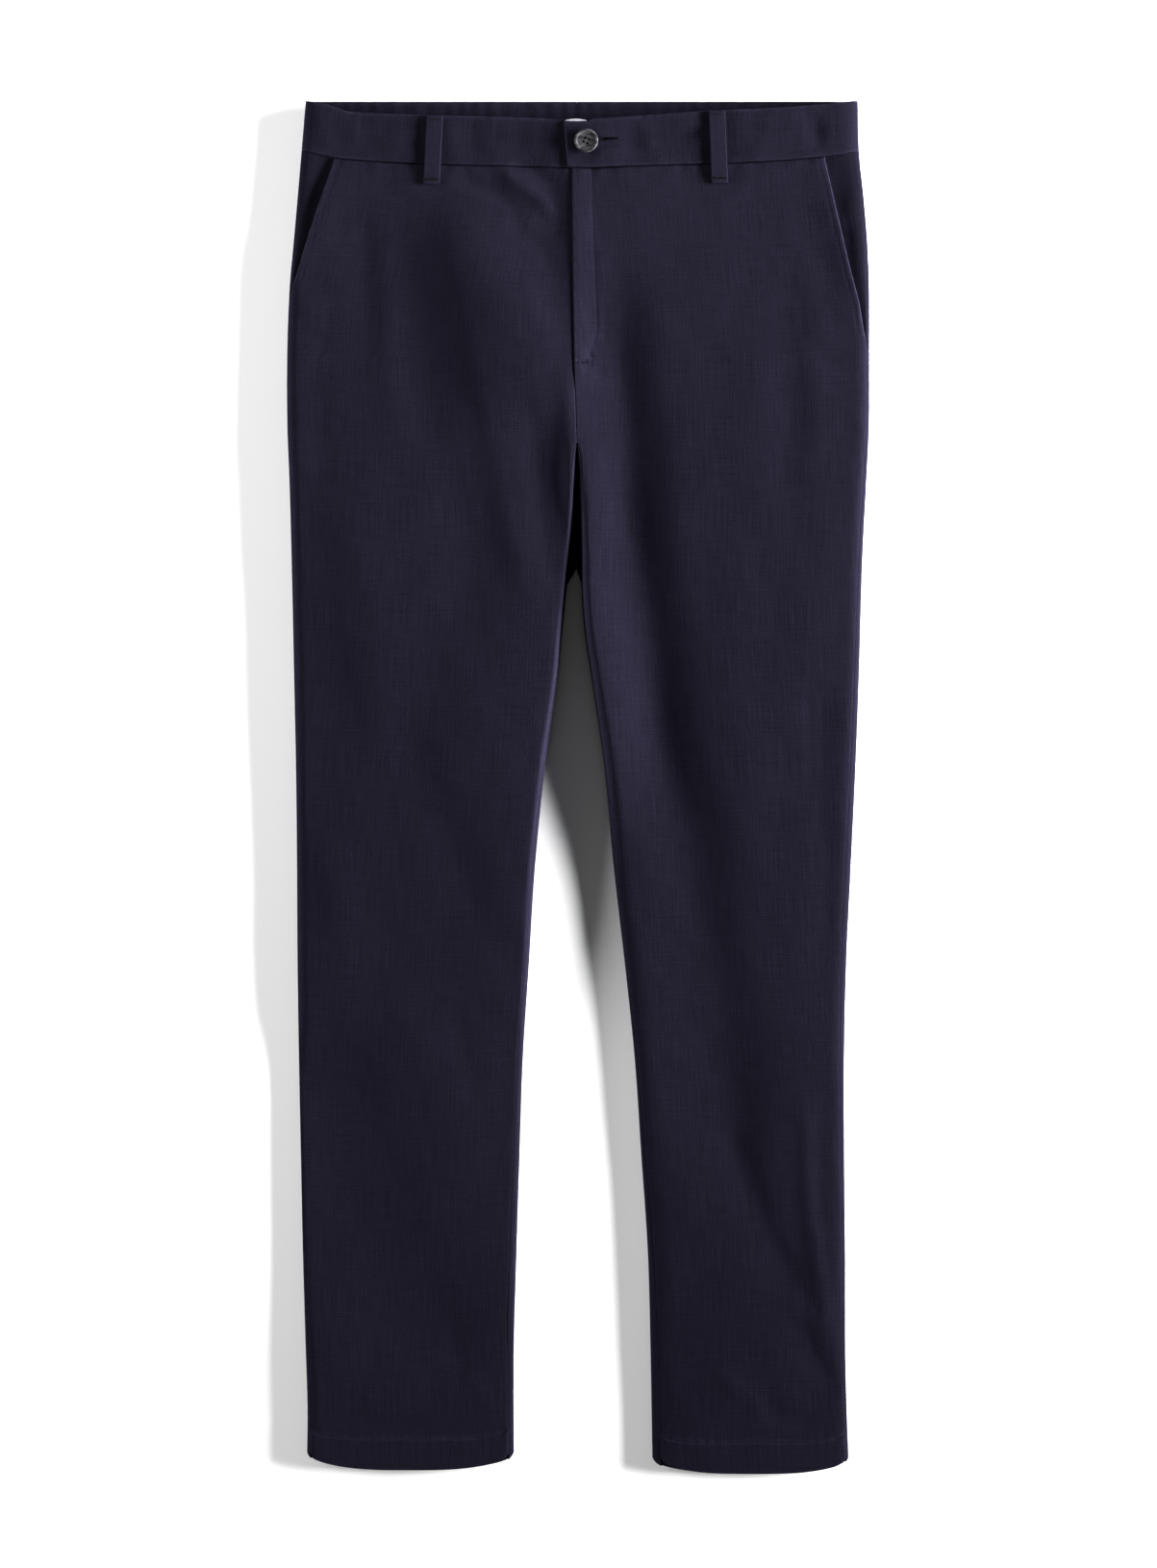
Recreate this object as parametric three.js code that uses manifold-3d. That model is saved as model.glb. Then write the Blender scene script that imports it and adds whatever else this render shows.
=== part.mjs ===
// Chino trousers laid flat on a table with the fly side up, in millimetres.
// +X is the wearer's left, +Y runs from the hems to the waist, +Z is up and the table is z = 0.
// Every cloth piece is a closed wall: a sheet of points on its outer face, each with the way that the
// cloth faces there, and the same points moved back that way by the thickness of the cloth.
// "down" is the distance below the top of the waistband.
import * as THREE from "three";
import { mergeVertices } from "three/addons/utils/BufferGeometryUtils.js";
import Module from "manifold-3d";

const wasm = await Module();
wasm.setup();

// Driving dimensions
const LENGTH = 1078; // waistband top to the lowest point of the hem
const CLOTH = 1.2; // wall of a single cloth panel
const HEM_CLOTH = 1.7; // wall where the hem is turned up
const BAND_CLOTH = 2; // wall of the waistband, which is cut double
const SEAM_GAP = 0.3; // clearance between two pieces sewn edge to edge
const LAY_GAP = 0.35; // clearance between two pieces that lie on each other
const HALF_GAP = SEAM_GAP / 2;

// Waist
const BAND_DOWN = 40; // waist seam at the sides and at the back
const BAND_PROUD = 0.4; // waistband face above the panel face
const BAND_ROWS = 3;
const BAND_FRONT_STEPS = 16;
const BAND_BACK_STEPS = 7;
const BAND_BUNCHING = 0.9; // below 1: the steps of the front band are less bunched towards the side
const PROUD_FADE = 8; // power that keeps the band proud until just short of the side
const FLAP_LIFT = 2.8; // buttoned end of the waistband above the end under it
const FLAP_EDGE = { topX: -11.4, topDown: 13, seamX: -8.3, seamDown: 51 };
const UNDERLAP = 30; // band that runs on under the flap
const FLAP_FULL = 34; // width over which the flap is fully raised
const FLAP_FADE = 28;

// Fly
const FLY_LIFT = 1.9; // fly facing above the front under it
const FLY_UNDERLAP = 10;
const FLY_END = 209; // where the fly becomes the centre front seam
const FLY_UNDERLAP_END = 203;
const FLY_FADE_END = 236;
const FLY_WIDTH = 12;
const FLY_FADE_WIDTH = 24;
const DIP_FADE = 130; // length over which the panels lose the dip of the waist seam

// Crotch: the two inseams meet the centre seams at the crotch point, on top of the lay. From there
// the seat seam goes down between the legs to the fork, on the table, and back up to the waist.
const CROTCH_DOWN = 269.5;
const FORK_DOWN = 365;
const SEAT_X = -1.5;
const FORK_FOLD = 2.5; // radius of the cloth where it folds round the fork
const FORK_REACH = 16; // length over which the fold at the fork becomes the rounded inner leg
const FORK_SINK = 0.75; // below 1: the wall beside the fork sinks faster at first
const FORK_TURN = 40; // length over which that wall turns from level to upright
const FORK_MIDDLE = 0.6; // how far out that wall is half way up
const INNER_LEG_OPENS = 100; // length over which the inner edge sinks from the cloth's level to the rim
const LEGS_PART = { from: -60, over: 160 }; // where the crown of the hips becomes one for each leg

// Cross-section of a leg or of the hips, as it lies
const RIM_WALL = 1.5; // upright part of the rounded side
const LOW_ROUND = 4; // width of the rounding under the side
const ARC_STEPS = 2;
const SEAM_STEPS = 2;
const SEAM_BUNCHING = 1.5; // above 1: the steps from a seam to the side bunch towards the side
const FLAT_STEPS = 4;
const CROWN = 0.16; // share of the loft that is lost towards the sides
const LOOP_CLEAR = 2; // height of the back waist above the table, over the back belt loops
const LOOP_CLEAR_FULL = 70;
const LOOP_CLEAR_END = 125;

// Half outline of the whole garment and how high it lies, one row for each section.
const SECTIONS = [
  { down: 0, rightOuter: -214, leftOuter: 219.5, loft: 13, rim: 7.1 },
  { down: 40, rightOuter: -217.3, leftOuter: 220.5, loft: 13, rim: 7.1 },
  { down: 75, rightOuter: -220.3, leftOuter: 224.1, loft: 13.2, rim: 7 },
  { down: 110, rightOuter: -223.4, leftOuter: 227, loft: 13.5, rim: 6.8 },
  { down: 147, rightOuter: -226.7, leftOuter: 228.5, loft: 13.8, rim: 6.6 },
  { down: 200, rightOuter: -228.6, leftOuter: 228.6, loft: 14.3, rim: 6.4 },
  { down: 255, rightOuter: -228.5, leftOuter: 228.4, loft: 14.6, rim: 6.2 },
  { down: 300, rightOuter: -226.8, leftOuter: 226.3, loft: 14.6, rim: 6 },
  { down: 360, rightOuter: -225.2, leftOuter: 223.2, loft: 14.2, rim: 5.8 },
  { down: 450, rightOuter: -223.3, leftOuter: 220.6, loft: 13.6, rim: 5.5 },
  { down: 525, rightOuter: -221.8, leftOuter: 217.8, loft: 13, rim: 5.3 },
  { down: 600, rightOuter: -221, leftOuter: 214.2, loft: 12.6, rim: 5.2 },
  { down: 677, rightOuter: -220.6, leftOuter: 210.6, loft: 12.2, rim: 5 },
  { down: 752, rightOuter: -219.5, leftOuter: 208.9, loft: 11.8, rim: 4.9 },
  { down: 828, rightOuter: -218, leftOuter: 209, loft: 11.4, rim: 4.8 },
  { down: 904, rightOuter: -216.4, leftOuter: 209.7, loft: 11, rim: 4.7 },
  { down: 980, rightOuter: -214.2, leftOuter: 209.9, loft: 10.4, rim: 4.6 },
  { down: 1025, rightOuter: -212.8, leftOuter: 211, loft: 10, rim: 4.5 },
  { down: 1061, rightOuter: -213.1, leftOuter: 212.3, loft: 9.7, rim: 4.5 },
];

// Inner edges of the legs, from the crotch point to the hem.
const INNER_LEGS = [
  { down: 269.5, right: -1.9, left: -0.3 },
  { down: 284, right: -3.7, left: 1.2 },
  { down: 300, right: -3.9, left: 1.6 },
  { down: 330, right: -4.6, left: 1.9 },
  { down: 360, right: -6.8, left: 2.3 },
  { down: 390, right: -9.8, left: 2.8 },
  { down: 420, right: -12.9, left: 5.3 },
  { down: 450, right: -15.6, left: 9.8 },
  { down: 525, right: -26.3, left: 20.6 },
  { down: 601, right: -34, left: 27.8 },
  { down: 677, right: -38.8, left: 36.6 },
  { down: 752, right: -43.6, left: 44.4 },
  { down: 828, right: -46.2, left: 49.6 },
  { down: 904, right: -48.6, left: 54.8 },
  { down: 980, right: -50.7, left: 56.9 },
  { down: 1061, right: -50.7, left: 58.3 },
];

// How far inside the outline each leg seam lies, as seen from above.
const SEAM_INSETS = [
  { down: 0, rightOuter: 1.2, rightInner: 0.3, leftInner: 0.3, leftOuter: 1.6 },
  { down: 200, rightOuter: 1.2, rightInner: 0.3, leftInner: 0.3, leftOuter: 1.8 },
  { down: 269.5, rightOuter: 1.2, rightInner: 0.3, leftInner: 0.3, leftOuter: 2.2 },
  { down: 285, rightOuter: 1.2, rightInner: 1.2, leftInner: 1.2, leftOuter: 2.4 },
  { down: 330, rightOuter: 1.2, rightInner: 1.2, leftInner: 1.2, leftOuter: 2.8 },
  { down: 450, rightOuter: 1.2, rightInner: 1.3, leftInner: 1.2, leftOuter: 3.8 },
  { down: 640, rightOuter: 1.3, rightInner: 2.4, leftInner: 1.3, leftOuter: 4.6 },
  { down: 760, rightOuter: 1.5, rightInner: 4.4, leftInner: 2, leftOuter: 3.6 },
  { down: 900, rightOuter: 2.2, rightInner: 5.4, leftInner: 4.4, leftOuter: 2 },
  { down: 1061, rightOuter: 2.8, rightInner: 4, leftInner: 6.6, leftOuter: 2 },
];

// Front edges of the waistband: its top and its seam dip towards the fly.
const WAIST = [
  { x: -214, top: 0, seam: 40 },
  { x: -196, top: 2.4, seam: 43 },
  { x: -180, top: 6.6, seam: 44.2 },
  { x: -120, top: 9.4, seam: 47.8 },
  { x: -50, top: 11.4, seam: 49.6 },
  { x: -8, top: 13.4, seam: 50.8 },
  { x: 10, top: 13.2, seam: 50.9 },
  { x: 50, top: 10, seam: 49.2 },
  { x: 105, top: 6, seam: 47.6 },
  { x: 160, top: 3.4, seam: 44.8 },
  { x: 200, top: 0.7, seam: 41.8 },
  { x: 219.5, top: 0, seam: 40 },
];

// Edge of the fly, and of the centre front seam under it.
const FLY_LINE = [
  { down: 40, x: -4.6 },
  { down: 140, x: -4 },
  { down: 211, x: -3 },
  { down: 245, x: -2 },
  { down: 269.5, x: -1.1 },
];

// Slanted pocket openings, from the waist seam down to the outseam.
const POCKETS = {
  right: { topX: -192.5, topDown: 44, endX: -223.6, endDown: 146 },
  left: { topX: 194, topDown: 44.5, endX: 223.6, endDown: 188 },
};
const POCKET_LIFT = 1.6; // front above the opening
const POCKET_LIFT_ENDS = 0.3;
const POCKET_FADE = 26;
const FACING_DIP = 1.7; // facing below the front's own level, at the opening
const FACING_UNDER = 11; // facing that runs on under the front
const FACING_COLUMNS = 5;
const FACING_BUNCHING = 1.4; // above 1: the columns of a facing bunch towards the outseam

// Widths of the rounding on top of each edge: the cloth rolls over more softly where it is slack.
const ROUNDING = { rightOuter: 9, rightInner: 11, leftInner: 20, leftOuter: 11 };

const FOLD_ENDS = 3; // a fold fades out over this share of its length at each end, as 1 in FOLD_ENDS

// The largest folds, each a soft trough (negative) or ridge (positive) along a bowed line.
const FOLDS = [
  { from: [-118, 70], to: [-62, 262], bow: 6, width: 17, height: -2.2 },
  { from: [-90, 60], to: [-20, 250], bow: 10, width: 24, height: 1.5 },
  { from: [-165, 70], to: [-158, 230], bow: 0, width: 16, height: -1 },
  { from: [-44, 200], to: [-14, 275], bow: 3, width: 10, height: -1.8 },
  { from: [-24, 280], to: [-40, 420], bow: 0, width: 13, height: -1.3 },
  { from: [32, 90], to: [62, 320], bow: -6, width: 14, height: -2.4 },
  { from: [56, 300], to: [112, 610], bow: 6, width: 15, height: -3.2 },
  { from: [28, 260], to: [68, 640], bow: 4, width: 20, height: 1.8 },
  { from: [172, 100], to: [176, 300], bow: 4, width: 15, height: -1.4 },
  { from: [108, 600], to: [150, 860], bow: -4, width: 20, height: -1.8 },
  { from: [-140, 250], to: [-128, 620], bow: 5, width: 22, height: 1.4 },
  { from: [-182, 560], to: [-170, 800], bow: 4, width: 18, height: -1.6 },
  { from: [-84, 470], to: [-58, 670], bow: -4, width: 14, height: -2.2 },
  { from: [-152, 780], to: [-66, 1040], bow: 6, width: 20, height: -2.4 },
  { from: [-190, 860], to: [-100, 1040], bow: 6, width: 22, height: 1 },
  { from: [136, 800], to: [200, 1010], bow: -6, width: 13, height: -1.8 },
  { from: [186, 830], to: [200, 1000], bow: 2, width: 9, height: 1.4 },
];

// Hem: the front edge hangs lower in the middle of each leg than at its seams.
const HEM_DOWN = 1061;
const HEM_TURN = 21;
const HEM_DROPS = { right: 15, left: LENGTH - HEM_DOWN };
const BACK_HEM_SHARE = 0.85; // the back hem hangs a little less low than the front one
const HEM_SQUARENESS = 4;
const HEM_FADE = 260;

// Belt loops, button, label
const LOOP_WIDTH = 12.8;
const LOOP_CLOTH = 1.3;
const LOOP_TOP = 0.6; // loop below the top edge of the waistband
const LOOP_TAIL = 14.5; // loop below the waist seam
const LOOP_STEPS = 11;
const LOOP_BULGE = 1.5;
const LOOP_LEAN = 1.6; // each front loop leans out towards its lower end
const LOOP_STEP_DOWN = 6; // length over which the loop comes down from the band to the panel
const FRONT_LOOPS = { belt_loop_front_right: -113.8, belt_loop_front_left: 109.8 };
const BACK_LOOPS = { belt_loop_back_right: -128, belt_loop_back_centre: SEAT_X, belt_loop_back_left: 126 };
const BUTTON = { x: 6.3, down: 29.5, radius: 9.3, thickness: 3, sides: 32 };
const BUTTON_HOLES = { count: 4, radius: 0.95, fromCentre: 2.1, sides: 8, turned: 0.35 };
// The button's half section: "in" is measured from its rim and "up" from its underside.
const BUTTON_SECTION = [
  { in: 2.2, up: 0 },
  { in: 0.6, up: 0.7 },
  { in: 0, up: 1.5 },
  { in: 0.3, up: 2.6 },
  { in: 0.8, up: 3 },
  { in: 1.6, up: 2.7 },
  { in: 2.3, up: 2 },
];
const BUTTON_DISH = 1.7; // middle of the face above the underside
const BUTTONHOLE = { fromX: 7.5, toX: 30, width: 1.6, depth: 9, sides: 3 };
// The label lies on the inside of the back waistband, so that its top edge shows over the front one.
const LABEL = { fromX: -12, toX: 8, top: 11.6, bottom: 40, thickness: 1 };

// The rows of the panels, as distances down their seams.
const ROWS = [
  40, 58, 78, 100, 122, 146, 150, 168, 188, 193, 203, 209, 222, 236, 252, 269.5, 270.5, 274, 281, 292,
  308, 328, 348, 365, 370, 375, 381, 394, 412, 440, 475, 510, 545, 580, 615, 650, 688, 726, 764, 802,
  840, 880, 920, 960, 1000, 1039, 1041, 1061,
];
const FRONT_COLUMNS = 13;
const COLUMN_BUNCHING = 0.55; // 0: even columns; 1: columns bunched towards the edges

const NAVY = 0x25222f;
const NAVY_FACING = 0x201e2a;
const materials = {
  twill: new THREE.MeshStandardMaterial({ color: NAVY, roughness: 0.9, metalness: 0 }),
  facing: new THREE.MeshStandardMaterial({ color: NAVY_FACING, roughness: 0.92, metalness: 0 }),
  button: new THREE.MeshStandardMaterial({ color: 0x2c2d30, roughness: 0.35, metalness: 0 }),
  label: new THREE.MeshStandardMaterial({ color: 0xd9d6e0, roughness: 0.8, metalness: 0 }),
};

const clamp01 = (t) => Math.min(1, Math.max(0, t));
const smooth = (t) => clamp01(t) ** 2 * (3 - 2 * clamp01(t));
const mix = (a, b, t) => a + (b - a) * t;

// A smooth curve through one column of a table: cubic pieces whose slopes are the mean of their neighbours.
function curveThrough(table, column, key = "down") {
  const at = table.map((row) => row[key]);
  const value = table.map((row) => row[column]);
  const last = at.length - 1;
  const slope = at.map((_, i) => {
    const a = Math.max(0, i - 1);
    const b = Math.min(last, i + 1);
    return (value[b] - value[a]) / (at[b] - at[a]);
  });
  return (position) => {
    const p = Math.min(at[last], Math.max(at[0], position));
    const i = Math.min(last - 1, Math.max(0, at.findIndex((limit) => limit > p) - 1));
    const i0 = p >= at[last] ? last - 1 : i;
    const span = at[i0 + 1] - at[i0];
    const t = (p - at[i0]) / span;
    const rise = value[i0 + 1] - value[i0];
    return (
      value[i0] + rise * t * t * (3 - 2 * t) + span * t * (1 - t) * (slope[i0] * (1 - t) - slope[i0 + 1] * t)
    );
  };
}

const outerCurves = { right: curveThrough(SECTIONS, "rightOuter"), left: curveThrough(SECTIONS, "leftOuter") };
const innerCurves = { right: curveThrough(INNER_LEGS, "right"), left: curveThrough(INNER_LEGS, "left") };
const loftAt = curveThrough(SECTIONS, "loft");
const rimAt = curveThrough(SECTIONS, "rim");
const flyX = curveThrough(FLY_LINE, "x");
const waistTop = curveThrough(WAIST, "top", "x");
const waistSeam = curveThrough(WAIST, "seam", "x");
const insetCurves = {
  rightOuter: curveThrough(SEAM_INSETS, "rightOuter"),
  rightInner: curveThrough(SEAM_INSETS, "rightInner"),
  leftInner: curveThrough(SEAM_INSETS, "leftInner"),
  leftOuter: curveThrough(SEAM_INSETS, "leftOuter"),
};

// A side is the wearer's: "right" lies at -X and "left" at +X.
const signOf = (side) => (side === "left" ? 1 : -1);
const outerX = (side, down) => outerCurves[side](down);
const innerX = (side, down) => innerCurves[side](down);
const outseamX = (side, down) => outerX(side, down) - signOf(side) * insetCurves[side + "Outer"](down);
const inseamX = (side, down) => innerX(side, down) + signOf(side) * insetCurves[side + "Inner"](down);
const bottomZ = (down) =>
  LOOP_CLEAR * (1 - smooth((down - LOOP_CLEAR_FULL) / (LOOP_CLEAR_END - LOOP_CLEAR_FULL)));
const UP = [0, 1];
const FLAT_DOWN = [0, -1];

// A point of the cloth's outer face, the way (x, z) that the cloth faces there, and its thickness.
function clothPoint(x, down, z, [outX, outZ], cloth = CLOTH) {
  const place = new THREE.Vector3(x, LENGTH / 2 - down, z);
  place.out = new THREE.Vector3(outX, 0, outZ).normalize();
  place.cloth = cloth;
  return place;
}

// A fold's height at a place: a bell across its bowed line, fading out at both ends.
function foldHeight(fold, x, down) {
  const alongX = fold.to[0] - fold.from[0];
  const alongDown = fold.to[1] - fold.from[1];
  const length = Math.hypot(alongX, alongDown);
  const t = ((x - fold.from[0]) * alongX + (down - fold.from[1]) * alongDown) / length ** 2;
  if (t <= 0 || t >= 1) return 0;
  const across = ((x - fold.from[0]) * alongDown - (down - fold.from[1]) * alongX) / length;
  const offset = (across - fold.bow * 4 * t * (1 - t)) / fold.width;
  return fold.height * Math.exp(-offset * offset) * smooth(FOLD_ENDS * t) * smooth(FOLD_ENDS * (1 - t));
}

const foldsAt = (x, down) => FOLDS.reduce((sum, fold) => sum + foldHeight(fold, x, down), 0);

// Quarter ellipse from an edge inwards: 0 and upright at the edge, 1 and level at the end.
const roundedRise = (t) => Math.sqrt(1 - (1 - clamp01(t)) ** 2);

// Height of the cloth without its rounded sides. It is crowned across the hips, then across each leg.
function crestZ(side, x, down) {
  const inner = innerX(side, Math.max(down, CROTCH_DOWN));
  const outer = outerX(side, down);
  const hips = (2 * x - outerX("left", down) - outerX("right", down)) /
    (outerX("left", down) - outerX("right", down));
  const leg = (2 * x - outer - inner) / (outer - inner);
  const parted = smooth((down - CROTCH_DOWN - LEGS_PART.from) / LEGS_PART.over);
  const shape = mix(hips ** 2, leg ** 2, parted);
  return loftAt(down) * (1 - CROWN * clamp01(shape)) + foldsAt(x, down);
}

// The inner edge is level with the cloth at the crotch point (0) and at the rim further down (1).
const innerOpened = (down) => smooth((down - CROTCH_DOWN) / INNER_LEG_OPENS);

// Height of the upper face of the lay.
function topZ(side, x, down) {
  const crest = crestZ(side, x, down);
  const rim = rimAt(down) + RIM_WALL / 2;
  const fromOuter = Math.abs(x - outerX(side, down)) / ROUNDING[side + "Outer"];
  let height = crest;
  if (down > CROTCH_DOWN) {
    const edge = mix(crest, rim, innerOpened(down));
    const fromInner = Math.abs(x - innerX(side, down)) / ROUNDING[side + "Inner"];
    height = edge + (crest - edge) * roundedRise(fromInner);
  }
  return rim + (height - rim) * roundedRise(fromOuter);
}

// The way that the upper face looks: up, and turned outwards round each edge like a spoke of its ellipse.
function upperOut(side, x, down) {
  const s = signOf(side);
  const fromOuter = clamp01(Math.abs(x - outerX(side, down)) / ROUNDING[side + "Outer"]);
  const fromInner = clamp01(Math.abs(x - innerX(side, down)) / ROUNDING[side + "Inner"]);
  const opened = innerOpened(down);
  return [
    s * (1 - fromOuter) - s * (1 - fromInner) * opened,
    roundedRise(fromOuter) * (1 - opened * (1 - roundedRise(fromInner))),
  ];
}

const upperPoint = (side, x, at, down, lift, cloth) =>
  clothPoint(x, at, topZ(side, x, down) + lift, upperOut(side, x, down), cloth);

const sideAt = (x) => (x < SEAT_X ? "right" : "left");
const faceZ = (x, down) => topZ(sideAt(x), x, down);

// A sheet is a list of points and of quads that point outwards.
function gridSheet(rows, flipped) {
  const points = rows.flat();
  const columns = rows[0].length;
  const quads = [];
  for (let i = 0; i + 1 < rows.length; i++)
    for (let j = 0; j + 1 < columns; j++) {
      const a = i * columns + j;
      const quad = [a, a + columns, a + columns + 1, a + 1];
      quads.push(flipped ? quad.reverse() : quad);
    }
  return { points, quads };
}

// Joins sheets along the points that they share.
function sewnSheets(...sheets) {
  const index = new Map();
  const points = [];
  const quads = [];
  for (const sheet of sheets) {
    const place = sheet.points.map((p) => {
      const key = p.toArray().map((v) => v.toFixed(4)).join();
      if (!index.has(key)) {
        index.set(key, points.length);
        points.push(p);
      }
      return index.get(key);
    });
    for (const quad of sheet.quads) quads.push(quad.map((v) => place[v]));
  }
  return { points, quads };
}

// A closed wall: the outer face, the inner face moved back by the cloth, and strips along the edges.
function thickened({ points, quads }) {
  const inner = points.map((p) => p.clone().addScaledVector(p.out, -p.cloth));
  const count = points.length;
  const triangles = [];
  const edges = new Map();
  for (const [a, b, c, d] of quads) {
    triangles.push(a, b, c, a, c, d, count + c, count + b, count + a, count + d, count + c, count + a);
    for (const [from, to] of [[a, b], [b, c], [c, d], [d, a]]) {
      if (edges.has(to + "," + from)) edges.delete(to + "," + from);
      else edges.set(from + "," + to, [from, to]);
    }
  }
  for (const [from, to] of edges.values())
    triangles.push(to, from, count + from, to, count + from, count + to);
  const geometry = new THREE.BufferGeometry();
  const positions = [...points, ...inner].flatMap((p) => p.toArray());
  geometry.setAttribute("position", new THREE.Float32BufferAttribute(positions, 3));
  geometry.setIndex(triangles);
  geometry.computeVertexNormals();
  return geometry;
}

const clothAt = (down) => (down > HEM_DOWN - HEM_TURN ? HEM_CLOTH : CLOTH);

// Columns across a front panel, closer together at its edges.
function columnShare(j) {
  const even = j / FRONT_COLUMNS;
  return mix(even, (1 - Math.cos(Math.PI * even)) / 2, COLUMN_BUNCHING);
}

// The panels follow the dip of the waist seam, which fades out below it.
const waistDip = (x, down) => (waistSeam(x) - BAND_DOWN) * (1 - smooth((down - BAND_DOWN) / DIP_FADE));

function pocketEdgeX(side, down) {
  const { topX, topDown, endX, endDown } = POCKETS[side];
  return mix(topX, endX, clamp01((down - topDown) / (endDown - topDown)));
}

// The front's lift along its pocket opening, strongest half way down.
function pocketLift(side, x, down) {
  const { topDown, endDown } = POCKETS[side];
  const t = clamp01((down - topDown) / (endDown - topDown));
  const open = smooth(FOLD_ENDS * t) * smooth(FOLD_ENDS * (1 - t));
  const lift = mix(POCKET_LIFT_ENDS, POCKET_LIFT, open);
  const behind = Math.abs(x - pocketEdgeX(side, down));
  const below = 1 - smooth((down - endDown) / POCKET_FADE);
  return lift * (1 - smooth(behind / POCKET_FADE)) * below;
}

// The wearer's left front laps over the right one along the fly.
function flyLift(x, down) {
  const along = 1 - smooth((down - FLY_END) / (FLY_FADE_END - FLY_END));
  return FLY_LIFT * along * (1 - smooth((x - flyX(down) - FLY_WIDTH) / FLY_FADE_WIDTH));
}

// How much lower the hem hangs at a share of the way across the leg.
const hemDrop = (side, share, down) =>
  HEM_DROPS[side] *
  (1 - Math.abs(2 * share - 1) ** HEM_SQUARENESS) *
  smooth((down - HEM_DOWN + HEM_FADE) / HEM_FADE);

function frontPanel(side) {
  const s = signOf(side);
  const pocket = POCKETS[side];
  const rows = ROWS.map((down) => {
    const outer = down < pocket.endDown + 1 ? pocketEdgeX(side, down) : outseamX(side, down) - s * HALF_GAP;
    let inner = down > CROTCH_DOWN ? inseamX(side, down) + s * HALF_GAP : flyX(down) + s * HALF_GAP;
    if (side === "right" && down <= FLY_UNDERLAP_END) inner += FLY_UNDERLAP;
    const row = [];
    for (let j = 0; j <= FRONT_COLUMNS; j++) {
      const share = columnShare(j);
      const x = mix(outer, inner, share);
      const seamGap = down === ROWS[0] ? HALF_GAP : 0;
      const at = down + waistDip(x, down) + hemDrop(side, share, down) + seamGap;
      const lift = pocketLift(side, x, down) + (side === "left" ? flyLift(x, down) : 0);
      row.push(upperPoint(side, x, at, Math.min(at, HEM_DOWN), lift, clothAt(down)));
    }
    return row;
  });
  return thickened(gridSheet(rows, side === "left"));
}

// The innermost point of the cloth under a leg: on the seat seam above the fork, then on the inner leg.
// "turned" says how far the cloth has folded up there, from flat on the table (0) to upright (1).
function toe(side, down) {
  const s = signOf(side);
  const seat = SEAT_X + s * HALF_GAP;
  const turned = smooth((down - FORK_DOWN + FORK_REACH) / FORK_REACH);
  const opened = smooth((down - FORK_DOWN) / FORK_REACH);
  return {
    x: mix(seat, innerX(side, down), opened),
    z: mix(bottomZ(down) + FORK_FOLD * turned, rimAt(down) - RIM_WALL / 2, opened),
    turned,
  };
}

// Half of a rounded edge, from its upright side down to the underside.
function lowArc(edgeX, edgeZ, inwards, down, turned = 1) {
  const arc = [];
  for (let k = 0; k <= ARC_STEPS; k++) {
    const turn = (Math.PI / 2) * (k / ARC_STEPS);
    const z = bottomZ(down) + (edgeZ - bottomZ(down)) * (1 - Math.sin(turn));
    const out = [-inwards * turned * Math.cos(turn), -mix(1, Math.sin(turn), turned)];
    arc.push({ x: edgeX + inwards * LOW_ROUND * (1 - Math.cos(turn)), z, out });
  }
  return arc;
}

// Points on the top of a rounded edge, from a seam out to the silhouette.
function overEdge(side, seamX, edgeX, down) {
  const arc = [];
  for (let k = SEAM_STEPS; k >= 0; k--) {
    const x = mix(edgeX, seamX, (k / SEAM_STEPS) ** SEAM_BUNCHING);
    arc.push({ x, z: topZ(side, x, down), out: upperOut(side, x, down) });
  }
  return arc;
}

// The under layer of a back panel: from the outseam round the side and along the table to its toe.
function underRow(side, down) {
  const s = signOf(side);
  const edge = outerX(side, down);
  const end = toe(side, down);
  const over = overEdge(side, outseamX(side, down) + s * HALF_GAP, edge, down);
  const low = lowArc(edge, rimAt(down) - RIM_WALL / 2, -s, down);
  const rise = lowArc(end.x, end.z, s, down, end.turned).reverse();
  const flat = [];
  for (let k = 1; k < FLAT_STEPS; k++)
    flat.push({ x: mix(low.at(-1).x, rise[0].x, k / FLAT_STEPS), z: bottomZ(down), out: FLAT_DOWN });
  return [...over, ...low, ...flat, ...rise];
}

// The inner layer of a back panel: from the toe, or from the seat seam above it, up to the inseam.
function forkRow(side, down) {
  const s = signOf(side);
  const over = overEdge(side, inseamX(side, down) - s * HALF_GAP, innerX(side, down), down).reverse();
  const edge = over[0];
  const start = toe(side, down);
  if (down < FORK_DOWN) {
    const crotchZ = topZ(side, innerX(side, CROTCH_DOWN), CROTCH_DOWN);
    const sunk = ((down - CROTCH_DOWN) / (FORK_DOWN - CROTCH_DOWN)) ** FORK_SINK;
    start.z = mix(crotchZ, 2 * FORK_FOLD, sunk);
  }
  const chord = new THREE.Vector2(-s * (edge.z - start.z), s * (edge.x - start.x)).normalize();
  const turned = smooth((down - CROTCH_DOWN) / FORK_TURN);
  const across = [chord.x * turned, mix(1, chord.y, turned)];
  const middle = { x: mix(start.x, edge.x, FORK_MIDDLE), z: mix(start.z, edge.z, 0.5), out: across };
  start.out = down < FORK_DOWN ? across : [-s, 0];
  edge.out = [edge.out[0] + across[0], edge.out[1] + across[1]];
  return [start, middle, ...over];
}

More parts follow.
